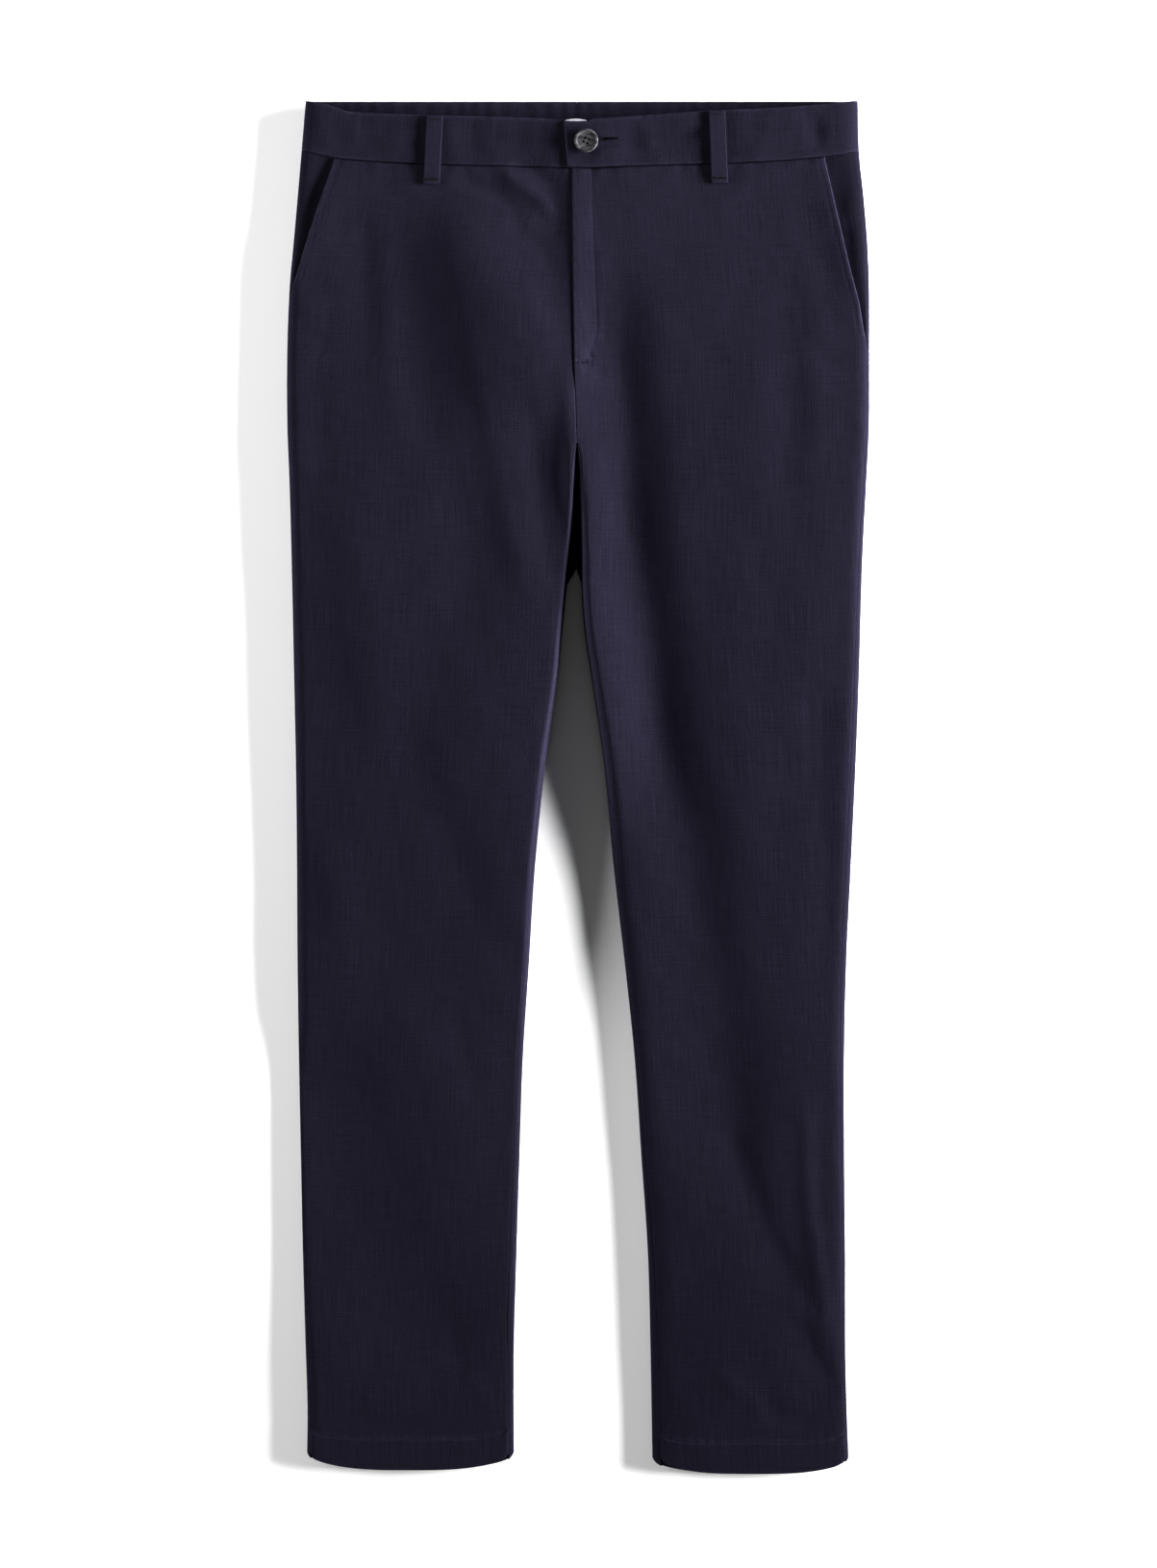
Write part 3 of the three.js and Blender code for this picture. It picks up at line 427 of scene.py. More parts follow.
@dataclass(frozen=True)
class Lay:
    """How the trousers lie: outline, seams and heights."""

    waist_down: float = 40.0
    crotch_down: float = 269.5
    fork_down: float = 365.0
    hem_down: float = 1061.0
    seat_x: float = -1.5
    rim_wall: float = 1.5
    crown: float = 0.16
    loop_clear: float = 2.0
    loop_clear_full: float = 70.0
    loop_clear_end: float = 125.0
    inner_leg_opens: float = 100.0
    legs_part_from: float = -60.0
    legs_part_over: float = 160.0
    dip_fade: float = 130.0
    hem_fade: float = 260.0
    outer_rounding: dict = field(default_factory=lambda: {Side.RIGHT: 9.0, Side.LEFT: 11.0})
    hem_base: dict = field(default_factory=lambda: {Side.RIGHT: 0.5, Side.LEFT: 4.5})
    hem_belly: dict = field(default_factory=lambda: {Side.RIGHT: 13.5, Side.LEFT: 12.5})

    def outer(self, side: Side, down: Array) -> Array:
        """x of the outline on the outside of a leg or of the hips."""
        return column(SECTIONS, "down", side.word)(down)

    def inner(self, side: Side, down: Array) -> Array:
        """x of the outline between the legs."""
        return column(LEG_GAPS, "down", side.word)(down)

    def outseam(self, side: Side, down: Array) -> Array:
        """x of the side seam, seen from above."""
        inset = column(SEAM_INSETS, "down", side.word + "_outer")(down)
        return self.outer(side, down) - side.value * inset

    def inseam(self, side: Side, down: Array) -> Array:
        """x of the inside leg seam, seen from above."""
        inset = column(SEAM_INSETS, "down", side.word + "_inner")(down)
        return self.inner(side, down) + side.value * inset

    def fly(self, down: Array) -> Array:
        """x of the fly's edge and of the centre front seam under it."""
        return FLY_LINE(down)

    def waist_top(self, x: Array) -> Array:
        """Distance down to the top edge of the front waistband."""
        return column(WAIST_EDGES, "x", "top")(x)

    def waist_seam(self, x: Array) -> Array:
        """Distance down to the seam under the front waistband."""
        return column(WAIST_EDGES, "x", "seam")(x)

    def waist_dip(self, x: Array, down: Array) -> Array:
        """How much the front panels follow the dip of the waist seam, which fades out below it."""
        fade = 1.0 - smooth((down - self.waist_down) / self.dip_fade)
        return (self.waist_seam(x) - self.waist_down) * fade

    def hem_drop(self, side: Side, share: Array, down: Array, belly: float = 1.0) -> Array:
        """How much lower the hem hangs than the last level, by the share of the way across the leg.

        The drop is a broad arch with turned corners: one part falls off with the cube of the distance
        from the middle, the other only at the very sides.

        Args:
            side: Which leg.
            share: 0 at the outer and 1 at the inner seam.
            down: The level that is moved.
            belly: Share of the arch that this layer takes.

        Returns:
            The distance to move down.
        """
        middle = np.abs(2.0 * share - 1.0)
        arch = 0.35 * (1.0 - middle**30) + 0.65 * (1.0 - middle**3.2)
        fade = smooth((down - self.hem_down + self.hem_fade) / self.hem_fade)
        return (self.hem_base[side] + belly * self.hem_belly[side] * arch) * fade

    def opened(self, down: Array) -> Array:
        """The inner edge is level with the cloth at the crotch point (0) and at the rim below (1)."""
        return smooth((down - self.crotch_down) / self.inner_leg_opens)

    def from_outer(self, side: Side, x: Array, down: Array) -> Array:
        """Distance from the outer edge, as a share of the width over which the cloth rounds off."""
        return np.abs(x - self.outer(side, down)) / self.outer_rounding[side]

    def from_inner(self, side: Side, x: Array, down: Array) -> Array:
        """Distance from the inner edge, as a share of the rounded width, which grows down the leg."""
        return np.abs(x - self.inner(side, down)) / INNER_ROUNDING[side](down)

    def rim(self, down: Array) -> Array:
        """Height of the middle of the upright side."""
        return column(SECTIONS, "down", "rim")(down)

    def under(self, down: Array) -> Array:
        """Height of the under layer, which lies over the back belt loops at the waist."""
        span = self.loop_clear_end - self.loop_clear_full
        return self.loop_clear * (1.0 - smooth((down - self.loop_clear_full) / span))

    def crest(self, side: Side, x: Array, down: Array) -> Array:
        """Height of the cloth without its rounded sides: crowned over the hips, then over each leg."""
        left, right = self.outer(Side.LEFT, down), self.outer(Side.RIGHT, down)
        hips = (2.0 * x - left - right) / (left - right)
        outer, inner = self.outer(side, down), self.inner(side, down)
        leg = (2.0 * x - outer - inner) / (outer - inner)
        parted = smooth((down - self.crotch_down - self.legs_part_from) / self.legs_part_over)
        shape = clamp01(mix(hips**2, leg**2, parted))
        loft = column(SECTIONS, "down", "loft")(down)
        return loft * (1.0 - self.crown * shape) + self.relief(x, down)

    def relief(self, x: Array, down: Array) -> Array:
        """Folds and ripples of the upper side. The ripples die out on the stiff waistband."""
        folds = sum(fold.relief(x, down) for fold in UPPER_FOLDS)
        ripples = sum(ripple.relief(x, down) for ripple in RIPPLES)
        return folds + ripples * smooth((down - self.waist_down) / 30.0)

    def top(self, side: Side, x: Array, down: Array) -> Array:
        """Height of the upper face, which rounds off towards each edge as a quarter ellipse."""
        crest = self.crest(side, x, down)
        rim = self.rim(down) + self.rim_wall / 2.0
        edge = mix(crest, rim, self.opened(down))
        legs = edge + (crest - edge) * rounded_rise(self.from_inner(side, x, down))
        height = np.where(down > self.crotch_down, legs, crest)
        return rim + (height - rim) * rounded_rise(self.from_outer(side, x, down))

    def upper_out(self, side: Side, x: Array, down: Array) -> tuple[Array, Array]:
        """The way (x, z) that the upper face looks: up, and outwards round each edge."""
        outer = clamp01(self.from_outer(side, x, down))
        inner = clamp01(self.from_inner(side, x, down))
        opened = self.opened(down)
        out_x = side.value * ((1.0 - outer) - (1.0 - inner) * opened)
        out_z = rounded_rise(outer) * (1.0 - opened * (1.0 - rounded_rise(inner)))
        return out_x, out_z

    def face(self, x: Array, down: Array) -> Array:
        """Height of the upper face wherever it is, on either side."""
        return np.where(
            x < self.seat_x, self.top(Side.RIGHT, x, down), self.top(Side.LEFT, x, down)
        )


@dataclass
class Surface:
    """Points on a cloth's outer face, as arrays of one shape, in millimetres."""

    x: Array
    down: Array
    z: Array
    out_x: Array
    out_z: Array
    cloth: Array
    wear: Array

    @classmethod
    def make(cls, **arrays: Array) -> "Surface":
        """Builds a surface from arrays that may still need to be spread to one shape."""
        spread = np.broadcast_arrays(*arrays.values())
        return cls(**dict(zip(arrays, spread)))

    def places(self) -> Array:
        """The points as an array whose last axis is x, y, z."""
        return np.stack((self.x, HALF_LENGTH - self.down, self.z), axis=-1)

    def facing(self) -> Array:
        """The unit vectors that the points face along."""
        vectors = np.stack((self.out_x, np.zeros_like(self.x), self.out_z), axis=-1)
        return vectors / np.linalg.norm(vectors, axis=-1, keepdims=True)


@dataclass
class Shell:
    """A cloth wall under construction: outer points, the way they face, thickness, weave and faces."""

    points: Array
    facing: Array
    cloth: Array
    weave: Array
    wear: Array
    quads: Array

    @classmethod
    def from_grid(cls, surface: Surface, flipped: bool, anchor: float = 0.5) -> "Shell":
        """Makes a grid of quads over a surface of rows and columns.

        The weave's coordinates are arc lengths: across from the anchor column, and down each column.

        Args:
            surface: Arrays of rows (down the garment) by columns (across it).
            flipped: Whether the columns run against x, so that each quad is turned round.
            anchor: Share of the columns at which the grain line lies.

        Returns:
            The grid, without its thickness.
        """
        points = surface.places()
        rows, columns = surface.x.shape
        index = np.arange(rows * columns).reshape(rows, columns)
        quads = np.stack((index[:-1, :-1], index[1:, :-1], index[1:, 1:], index[:-1, 1:]), axis=-1)
        quads = quads.reshape(-1, 4)
        across = np.linalg.norm(np.diff(points, axis=1, prepend=points[:, :1]), axis=-1).cumsum(axis=1)
        across = across - across[:, [int(anchor * (columns - 1))]]
        weave = np.stack((across, -surface.down), axis=-1) * MM
        return cls(
            points=points.reshape(-1, 3),
            facing=surface.facing().reshape(-1, 3),
            cloth=surface.cloth.reshape(-1),
            weave=weave.reshape(-1, 2),
            wear=surface.wear.reshape(-1),
            quads=quads[:, ::-1] if flipped else quads,
        )

    def sewn_to(self, other: "Shell", mine: Array, theirs: Array) -> "Shell":
        """Joins another grid along points that both hold.

        Args:
            other: The grid to join.
            mine: Indices of the shared points in this grid.
            theirs: Indices of the same points in the other grid.

        Returns:
            One grid of both.
        """
        count = len(self.points)
        keep = np.ones(len(other.points), dtype=bool)
        keep[theirs] = False
        place = np.empty(len(other.points), dtype=int)
        place[keep] = count + np.arange(keep.sum())
        place[theirs] = mine
        return Shell(
            points=np.concatenate((self.points, other.points[keep])),
            facing=np.concatenate((self.facing, other.facing[keep])),
            cloth=np.concatenate((self.cloth, other.cloth[keep])),
            weave=np.concatenate((self.weave, other.weave[keep])),
            wear=np.concatenate((self.wear, other.wear[keep])),
            quads=np.concatenate((self.quads, place[other.quads])),
        )

    def without(self, cut: Array) -> "Shell":
        """The same grid with some of its quads left out, such as those of a slot."""
        return Shell(
            self.points, self.facing, self.cloth, self.weave, self.wear, self.quads[~cut]
        )

    def piece(self, name: str) -> bpy.types.Object:
        """Gives the grid its thickness and makes it an object.

        The inner face is the outer one moved back by the cloth's thickness and turned round, and a
        strip of quads closes every open edge.

        Args:
            name: Name of the piece.

        Returns:
            The object, with its weave map and its attribute of wear and painted highlight.
        """
        count = len(self.points)
        inner = self.points - self.facing * self.cloth[:, None]
        start = self.quads.ravel()
        end = np.roll(self.quads, -1, axis=1).ravel()
        open_edge = ~np.isin(start * count + end, end * count + start)
        a, b = start[open_edge], end[open_edge]
        strip = np.stack((b, a, a + count, b + count), axis=-1)
        faces = np.concatenate((self.quads, self.quads[:, ::-1] + count, strip))
        used, packed = np.unique(faces, return_inverse=True)
        faces = packed.reshape(faces.shape)
        points = np.concatenate((self.points, inner))[used]
        mesh = quad_mesh(name, points * MM, faces)
        weave = np.concatenate((self.weave, self.weave))[used]
        layer = mesh.uv_layers.new(name=WEAVE_MAP)
        layer.data.foreach_set("uv", weave[faces.ravel()].astype(np.float32).ravel())
        wear = mesh.attributes.new(WEAR_AND_HIGHLIGHT, "FLOAT", "POINT")
        both = np.concatenate((self.wear, self.wear))[used]
        wear.data.foreach_set("value", both.astype(np.float32))
        mesh.set_sharp_from_angle(angle=math.radians(55.0))
        return linked(name, mesh)


def quad_mesh(name: str, points: Array, quads: Array) -> bpy.types.Mesh:
    """Makes a smooth-shaded mesh from points in metres and quads of point numbers."""
    mesh = bpy.data.meshes.new(name)
    mesh.vertices.add(len(points))
    mesh.vertices.foreach_set("co", points.astype(np.float32).ravel())
    mesh.loops.add(quads.size)
    mesh.loops.foreach_set("vertex_index", quads.astype(np.int32).ravel())
    mesh.polygons.add(len(quads))
    mesh.polygons.foreach_set("loop_start", np.arange(0, quads.size, 4, dtype=np.int32))
    mesh.update(calc_edges=True)
    mesh.validate()
    mesh.polygons.foreach_set("use_smooth", np.ones(len(mesh.polygons), dtype=bool))
    return mesh


def linked(name: str, mesh: bpy.types.Mesh) -> bpy.types.Object:
    """Puts a mesh into the scene as an object at the origin."""
    piece = bpy.data.objects.new(name, mesh)
    bpy.context.scene.collection.objects.link(piece)
    return piece


def fine_steps(start: float, end: float, pitch: float, lines: tuple[float, ...] = ()) -> Array:
    """Levels for the rows of a grid: evenly spaced, and closer at both ends and at given lines.

    Args:
        start: First level.
        end: Last level.
        pitch: Usual distance between levels.
        lines: Levels round which the rows are half a millimetre to a millimetre apart.

    Returns:
        The levels in order.
    """
    near = np.array((0.0, 0.25, 0.6, 1.1, 1.8, 2.8))
    base = np.arange(start + 2.0 * pitch, end - 2.0 * pitch, pitch)
    around = [line + np.array((-4.0, -2.4, -1.4, -0.7, 0.0, 0.7, 1.4, 2.4, 4.0)) for line in lines]
    levels = np.unique(np.concatenate((start + near, end - near, base, *around)).round(3))
    levels = levels[(levels >= start) & (levels <= end)]
    keep = np.concatenate(([True], np.diff(levels) > 0.12))
    keep[-1] = True
    return levels[keep]


def fine_columns(start: Array, end: Array, count: int, near_start: Array, near_end: Array) -> Array:
    """Columns between two edges: at fixed distances from each edge, and evenly spaced between.

    Args:
        start: x of the first edge at each row.
        end: x of the other edge at each row.
        count: Number of steps between the fixed columns.
        near_start: Distances of the fixed columns from the first edge, starting with 0.
        near_end: Distances of the fixed columns from the other edge, starting with 0.

    Returns:
        x of each column at each row.
    """
    way = np.sign(end - start)[:, None]
    first = start[:, None] + way * near_start[None, :]
    last = (end[:, None] - way * near_end[None, :])[:, ::-1]
    share = np.linspace(0.0, 1.0, count + 1)[None, 1:-1]
    middle = mix(first[:, -1:], last[:, :1], share)
    return np.concatenate((first, middle, last), axis=1)


EDGE_STEPS = np.array((0.0, 0.25, 0.6, 1.1, 1.8, 2.8, 4.2))
SEWN_EDGE_STEPS = np.array((0.0, 0.25, 0.6, 1.0, 1.5, 2.1, 2.8, 3.6, 4.6, 5.8, 7.2, 8.8))
FLY_STEPS = np.concatenate(((0.0, 0.25, 0.6), np.arange(1.2, 24.0, 1.0)))


def edge_roll(distance: Array, radius: float) -> Array:
    """How far a folded edge falls away: a quarter circle of that radius next to the edge."""
    return -radius * (1.0 - rounded_rise(distance / radius))


@dataclass(frozen=True)
class SewnLine:
    """A row of stitches that pulls the cloth down, and the dimples that it leaves beside it."""

    depth: float = 0.22
    width: float = 0.7
    dimple: float = 0.3
    reach: float = 4.0
    spacing: float = 8.5

    def relief(self, off: Array, along: Array) -> Array:
        """Height that the line takes away or adds.

        Across the line it is a narrow bell downwards; along it, a wave whose spacing drifts, under a
        wider bell.

        Args:
            off: Distance from the line.
            along: Distance along the line.

        Returns:
            The added height.
        """
        drift = 1.4 * np.sin(along / 31.0) + 0.9 * np.sin(along / 13.0 + 1.0)
        wave = np.sin(2.0 * math.pi * along / self.spacing + drift)
        strength = 0.6 + 0.4 * np.sin(along / 47.0 + 2.0)
        puckers = self.dimple * wave * strength * bell(off, self.reach)
        return puckers * (1.0 - 0.5 * bell(off, self.width)) - self.depth * bell(off, self.width)


@dataclass(frozen=True)
class PocketMouth:
    """The slanted opening of a front pocket, from the waist seam down to the side seam."""

    edge: Graded
    end: float
    lift: float = 1.6
    lift_ends: float = 0.3
    fade: float = 26.0

    def raised(self, x: Array, down: Array) -> Array:
        """How far the front stands up along its opening, most of all half way down."""
        start = self.edge.places[0]
        t = clamp01((down - start) / (self.end - start))
        lift = mix(self.lift_ends, self.lift, smooth(3.0 * t) * smooth(3.0 * (1.0 - t)))
        behind = 1.0 - smooth(np.abs(x - self.edge(down)) / self.fade)
        return lift * behind * (1.0 - smooth((down - self.end) / self.fade))


POCKETS = {
    Side.RIGHT: PocketMouth(Graded((42.0, 95.0, 146.0), (-191.6, -208.4, -223.8)), 146.0),
    Side.LEFT: PocketMouth(
        Graded((42.0, 90.0, 133.0, 160.0, 188.0), (193.6, 204.0, 213.6, 220.6, 225.2)), 188.0
    ),
}


@dataclass
class FrontPanel:
    """A front of the trousers, from the waist seam to the turned-up hem."""

    lay: Lay
    side: Side
    cloth: float = CLOTH
    hem_cloth: float = HEM_CLOTH
    hem_turn: float = 20.0
    hem_rise: float = 4.2
    half_gap: float = HALF_GAP
    pitch: float = 3.0
    columns: int = 56
    fly_lift: float = 1.5
    fly_end: float = 205.0
    fly_fade_end: float = 236.0
    fly_width: float = 1.0
    fly_fade_width: float = 17.0
    fly_under: float = 0.45
    fly_under_width: float = 11.0
    underlap: float = 10.0
    underlap_end: float = 203.0
    j_width: float = 15.5
    j_widening: float = 2.5
    j_start: float = 172.0
    j_radius: float = 36.0
    placket_line: float = 6.5
    fly_tack: float = 206.5
    pocket_stitch: float = 5.0
    seam_turn: float = 0.3
    free_turn: float = 0.9
    stitched: SewnLine = SewnLine()
    placket: SewnLine = SewnLine(depth=0.1, width=1.6, dimple=0.6, reach=4.5, spacing=7.4)

    def outer_edge(self, down: Array) -> Array:
        """x of the edge on the outside: the pocket's slanted edge, then the side seam."""
        pocket = POCKETS[self.side]
        seam = self.lay.outseam(self.side, down) - self.side.value * self.half_gap
        blend = smooth((down - pocket.end + 10.0) / 20.0)
        return mix(pocket.edge(down), seam, blend)

    def inner_edge(self, down: Array) -> Array:
        """x of the edge on the inside: the fly and centre seam, then the inside leg seam."""
        lay, sign = self.lay, self.side.value
        seam = lay.inseam(self.side, down) + sign * self.half_gap
        front = lay.fly(down) + sign * self.half_gap
        if self.side is Side.RIGHT:
            front = front + self.underlap * (1.0 - smooth((down - self.underlap_end + 6.0) / 6.0))
        return np.where(down > lay.crotch_down, seam, front)

    def j_stitch(self, down: Array) -> Array:
        """Distance of the fly's stitching from its edge: straight, then curving in to the edge."""
        below = ((down - self.j_start) / self.j_radius).clip(0.0, None)
        curve = np.sqrt(clamp01(1.0 - below**2))
        straight = self.j_width + self.j_widening * smooth((down - 60.0) / 120.0)
        return straight - 16.0 * (1.0 - curve)

    def fly_raised(self, x: Array, down: Array) -> Array:
        """How far the fly lifts its own edge, and a little the wearer's right front under it."""
        along = 1.0 - smooth((down - self.fly_end) / (self.fly_fade_end - self.fly_end))
        if self.side is Side.RIGHT:
            beside = smooth((self.lay.fly(down) - x) / self.fly_under_width)
            return self.fly_under * along * (1.0 - beside)
        beside = smooth((x - self.lay.fly(down) - self.fly_width) / self.fly_fade_width)
        return self.fly_lift * along * (1.0 - beside)

    def hem_line(self, share: Array) -> Array:
        """Height of the hem's sewn line over its edge: least at the seams, since the line is flatter."""
        return self.hem_turn + self.hem_rise * (1.0 - (2.0 * share - 1.0) ** 2)

    def surface(self, x: Array, down: Array) -> Surface:
        """The outer face at any places.

        The height is that of the lay, with the lift of the pocket and the fly, the turned edges and
        the sewn lines added.

        Args:
            x: Places across.
            down: Levels before the dip of the waist and the drop of the hem are added.

        Returns:
            The points.
        """
        lay, side = self.lay, self.side
        outer, inner = self.outer_edge(down), self.inner_edge(down)
        share = clamp01((x - outer) / (inner - outer))
        at = down + lay.waist_dip(x, down) + lay.hem_drop(side, share, down)
        level = np.minimum(at, lay.hem_down)
        pocket = POCKETS[side]
        z = lay.top(side, x, level) + pocket.raised(x, down)
        from_outer, from_inner = np.abs(x - outer), np.abs(x - inner)
        from_hem, from_waist = lay.hem_down - down, down - lay.waist_down
        at_pocket = 1.0 - smooth((down - pocket.end + 6.0) / 6.0)
        at_fly = (1.0 - smooth((down - 206.0) / 8.0)) * float(side is Side.LEFT)
        z = z + self.fly_raised(x, down)
        if side is Side.LEFT:
            sewn = self.stitched.relief(from_inner - self.j_stitch(down), down)
            z = z + self.placket.relief(from_inner - self.placket_line, down) * at_fly
            z = z + sewn * at_fly + 0.1 * at_fly * smooth((self.j_stitch(down) - from_inner) / 3.0)
        z = z + at_pocket * self.stitched.relief(from_outer - self.pocket_stitch, down)
        z = z + mix(self.seam_turn, self.free_turn, at_pocket) * edge_roll(from_outer, 1.0)
        z = z + mix(self.seam_turn, self.free_turn, at_fly) * edge_roll(from_inner, 1.0)
        z = z + 0.8 * edge_roll(from_hem, 1.2) + 1.3 * edge_roll(from_waist, 2.0)
        hem_turn = self.hem_line(share)
        turned = smooth((hem_turn - from_hem) / 1.6)
        z = z + 0.3 * turned + self.stitched.relief(from_hem - hem_turn, x)
        under_seam = 0.34 * np.sin(x / 2.6 + 1.5 * np.sin(x / 17.0)) * bell(from_waist, 6.0)
        z = z + under_seam * smooth(from_waist / 2.0)
        # Lightened lines: wear on the pocket, fly and hem edges, a painted highlight along the top of the
        # turned-up hem, and a faint line along every edge that is partly wear and partly painted highlight.
        wear = np.maximum(
            at_pocket * bell(from_outer - 0.6, 1.4), at_fly * bell(from_inner - 0.6, 1.3)
        )
        wear = np.maximum(wear, 0.8 * bell(from_hem - 0.4, 1.2))
        wear = np.maximum(wear, 0.8 * bell(from_hem - hem_turn - 0.9, 1.3))
        wear = np.maximum(wear, 0.35 * bell(np.minimum(from_outer, from_inner), 1.6))
        out_x, out_z = lay.upper_out(side, x, level)
        cloth = mix(self.cloth, self.hem_cloth, turned)
        return Surface.make(x=x, down=at, z=z, out_x=out_x, out_z=out_z, cloth=cloth, wear=wear)

    def build(self) -> bpy.types.Object:
        """Builds the panel as a shell."""
        lay = self.lay
        hem_lines = tuple(lay.hem_down - self.hem_turn - rise for rise in (0.0, 1.4, 2.8, self.hem_rise))
        lines = (*hem_lines, 204.0, lay.crotch_down)
        rows = fine_steps(lay.waist_down + self.half_gap, lay.hem_down, self.pitch, lines)
        near_inner = FLY_STEPS if self.side is Side.LEFT else EDGE_STEPS
        x = fine_columns(
            self.outer_edge(rows), self.inner_edge(rows), self.columns, SEWN_EDGE_STEPS, near_inner
        )
        surface = self.surface(x, rows[:, None])
        return Shell.from_grid(surface, self.side is Side.LEFT).piece("cloth_front_" + self.side.word)


@dataclass
class BackPanel:
    """A back of the trousers: round the side, along the table and up between the legs."""

    lay: Lay
    side: Side
    cloth: float = CLOTH
    hem_cloth: float = HEM_CLOTH
    hem_turn: float = 21.0
    half_gap: float = HALF_GAP
    pitch: float = 3.0
    low_round: float = 4.0
    fork_fold: float = 2.5
    fork_reach: float = 16.0
    fork_sink: float = 0.75
    fork_turn: float = 40.0
    seam_steps: int = 6
    arc_steps: int = 8
    flat_steps: int = 60
    wall_steps: int = 8
    hem_belly: float = 1.04
    stitched: SewnLine = SewnLine()

    def toe(self, down: Array) -> tuple[Array, Array, Array]:
        """The innermost point under a leg: on the seat seam, then folding up at the fork.

        Args:
            down: Levels.

        Returns:
            Its x, its z and how far the cloth has turned from flat (0) to upright (1).
        """
        lay, sign = self.lay, self.side.value
        seat = lay.seat_x + sign * self.half_gap
        turned = smooth((down - lay.fork_down + self.fork_reach) / self.fork_reach)
        opened = smooth((down - lay.fork_down) / self.fork_reach)
        x = mix(seat, lay.inner(self.side, down), opened)
        low = lay.under(down) + self.fork_fold * turned
        return x, mix(low, lay.rim(down) - lay.rim_wall / 2.0, opened), turned

    def over_edge(self, seam: Array, edge: Array, down: Array) -> list[Array]:
        """Points on top of a rounded edge, from a seam out to the silhouette."""
        share = (np.arange(self.seam_steps, -1, -1) / self.seam_steps) ** 1.5
        x = mix(edge, seam, share[None, :])
        out_x, out_z = self.lay.upper_out(self.side, x, down)
        return [x, self.lay.top(self.side, x, down), out_x, out_z]

    def low_arc(self, x: Array, z: Array, inwards: int, down: Array, turned: Array) -> list[Array]:
        """The lower half of a rounded edge: a quarter ellipse from its upright side to the table."""
        turn = np.linspace(0.0, math.pi / 2.0, self.arc_steps + 1)[None, :]
        floor = self.lay.under(down)
        height = floor + (z - floor) * (1.0 - np.sin(turn))
        out_x = -inwards * turned * np.cos(turn)
        out_z = -mix(1.0, np.sin(turn), turned)
        return [x + inwards * self.low_round * (1.0 - np.cos(turn)), height, out_x, out_z]

    def under_rows(self, down: Array) -> list[Array]:
        """The under layer: from the side seam round the side and along the table to its toe."""
        lay, side, sign = self.lay, self.side, self.side.value
        edge = lay.outer(side, down)
        over = self.over_edge(lay.outseam(side, down) + sign * self.half_gap, edge, down)
        upright = np.ones_like(down)
        low = self.low_arc(edge, lay.rim(down) - lay.rim_wall / 2.0, -sign, down, upright)
        toe_x, toe_z, turned = self.toe(down)
        rise = [part[:, ::-1] for part in self.low_arc(toe_x, toe_z, sign, down, turned)]
        share = (np.arange(1, self.flat_steps) / self.flat_steps)[None, :]
        x = mix(low[0][:, -1:], rise[0][:, :1], share)
        lifted = sum(fold.relief(x, down) for fold in UNDER_FOLDS)
        lifted = lifted * smooth(8.0 * share) * smooth(8.0 * (1.0 - share))
        flat = [x, lay.under(down) + lifted, np.zeros_like(x), -np.ones_like(x)]
        return [np.concatenate(parts, axis=1) for parts in zip(over, low, flat, rise)]

    def fork_rows(self, down: Array) -> list[Array]:
        """The inner layer: from the toe, or above it from the seat seam, up to the inside leg seam."""
        lay, side, sign = self.lay, self.side, self.side.value
        seam = lay.inseam(side, down) - sign * self.half_gap
        over = [part[:, ::-1] for part in self.over_edge(seam, lay.inner(side, down), down)]
        start_x, start_z, _ = self.toe(down)
        crotch = np.full_like(down, lay.crotch_down)
        crotch_z = lay.top(side, lay.inner(side, crotch), crotch)
        span = lay.fork_down - lay.crotch_down
        sunk = clamp01((down - lay.crotch_down) / span) ** self.fork_sink
        above = down < lay.fork_down
        start_z = np.where(above, mix(crotch_z, 2.0 * self.fork_fold, sunk), start_z)
        edge_x, edge_z = over[0][:, :1], over[1][:, :1]
        chord_x, chord_z = -sign * (edge_z - start_z), sign * (edge_x - start_x)
        length = np.hypot(chord_x, chord_z) + 1e-6
        turned = smooth((down - lay.crotch_down) / self.fork_turn)
        across_x, across_z = chord_x / length * turned, mix(1.0, chord_z / length, turned)
        share = (np.arange(self.wall_steps) / self.wall_steps)[None, :]
        bowed = mix(share, share**1.5, 0.5)
        wall = [mix(start_x, edge_x, bowed), mix(start_z, edge_z, share)]
        wall += [np.broadcast_to(part, wall[0].shape).copy() for part in (across_x, across_z)]
        below = ~above[:, 0]
        wall[2][below, 0], wall[3][below, 0] = -sign, 0.0
        over[2][:, 0] += across_x[:, 0]
        over[3][:, 0] += across_z[:, 0]
        return [np.concatenate(parts, axis=1) for parts in zip(wall, over)]

    def surface(self, section: list[Array], down: Array) -> Surface:
        """Turns section arrays into points, with the hem's drop, its turn-up and its sewn line."""
        lay, side = self.lay, self.side
        x, z, out_x, out_z = section
        inner = lay.inner(side, np.maximum(down, lay.crotch_down))
        outer = lay.outer(side, down)
        share = clamp01((x - outer) / (inner - outer))
        at = down + lay.hem_drop(side, share, down, self.hem_belly)
        from_hem = lay.hem_down - down
        turned = smooth((self.hem_turn - from_hem) / 1.6)
        cloth = mix(self.cloth, self.hem_cloth, turned)
        on_table = np.clip(-out_z, 0.0, 1.0)
        groove = 0.25 * bell(from_hem - self.hem_turn, 0.8) - 0.6 * edge_roll(from_hem, 1.2)
        z = z + on_table * groove * (z < 3.0)
        # Lightened lines: wear on the hem's fold, and a painted highlight along the top of the turned-up
        # hem.
        wear = np.maximum(0.7 * bell(from_hem - 0.4, 1.2), 0.4 * bell(from_hem - self.hem_turn, 1.2))
        return Surface.make(x=x, down=at, z=z, out_x=out_x, out_z=out_z, cloth=cloth, wear=wear)

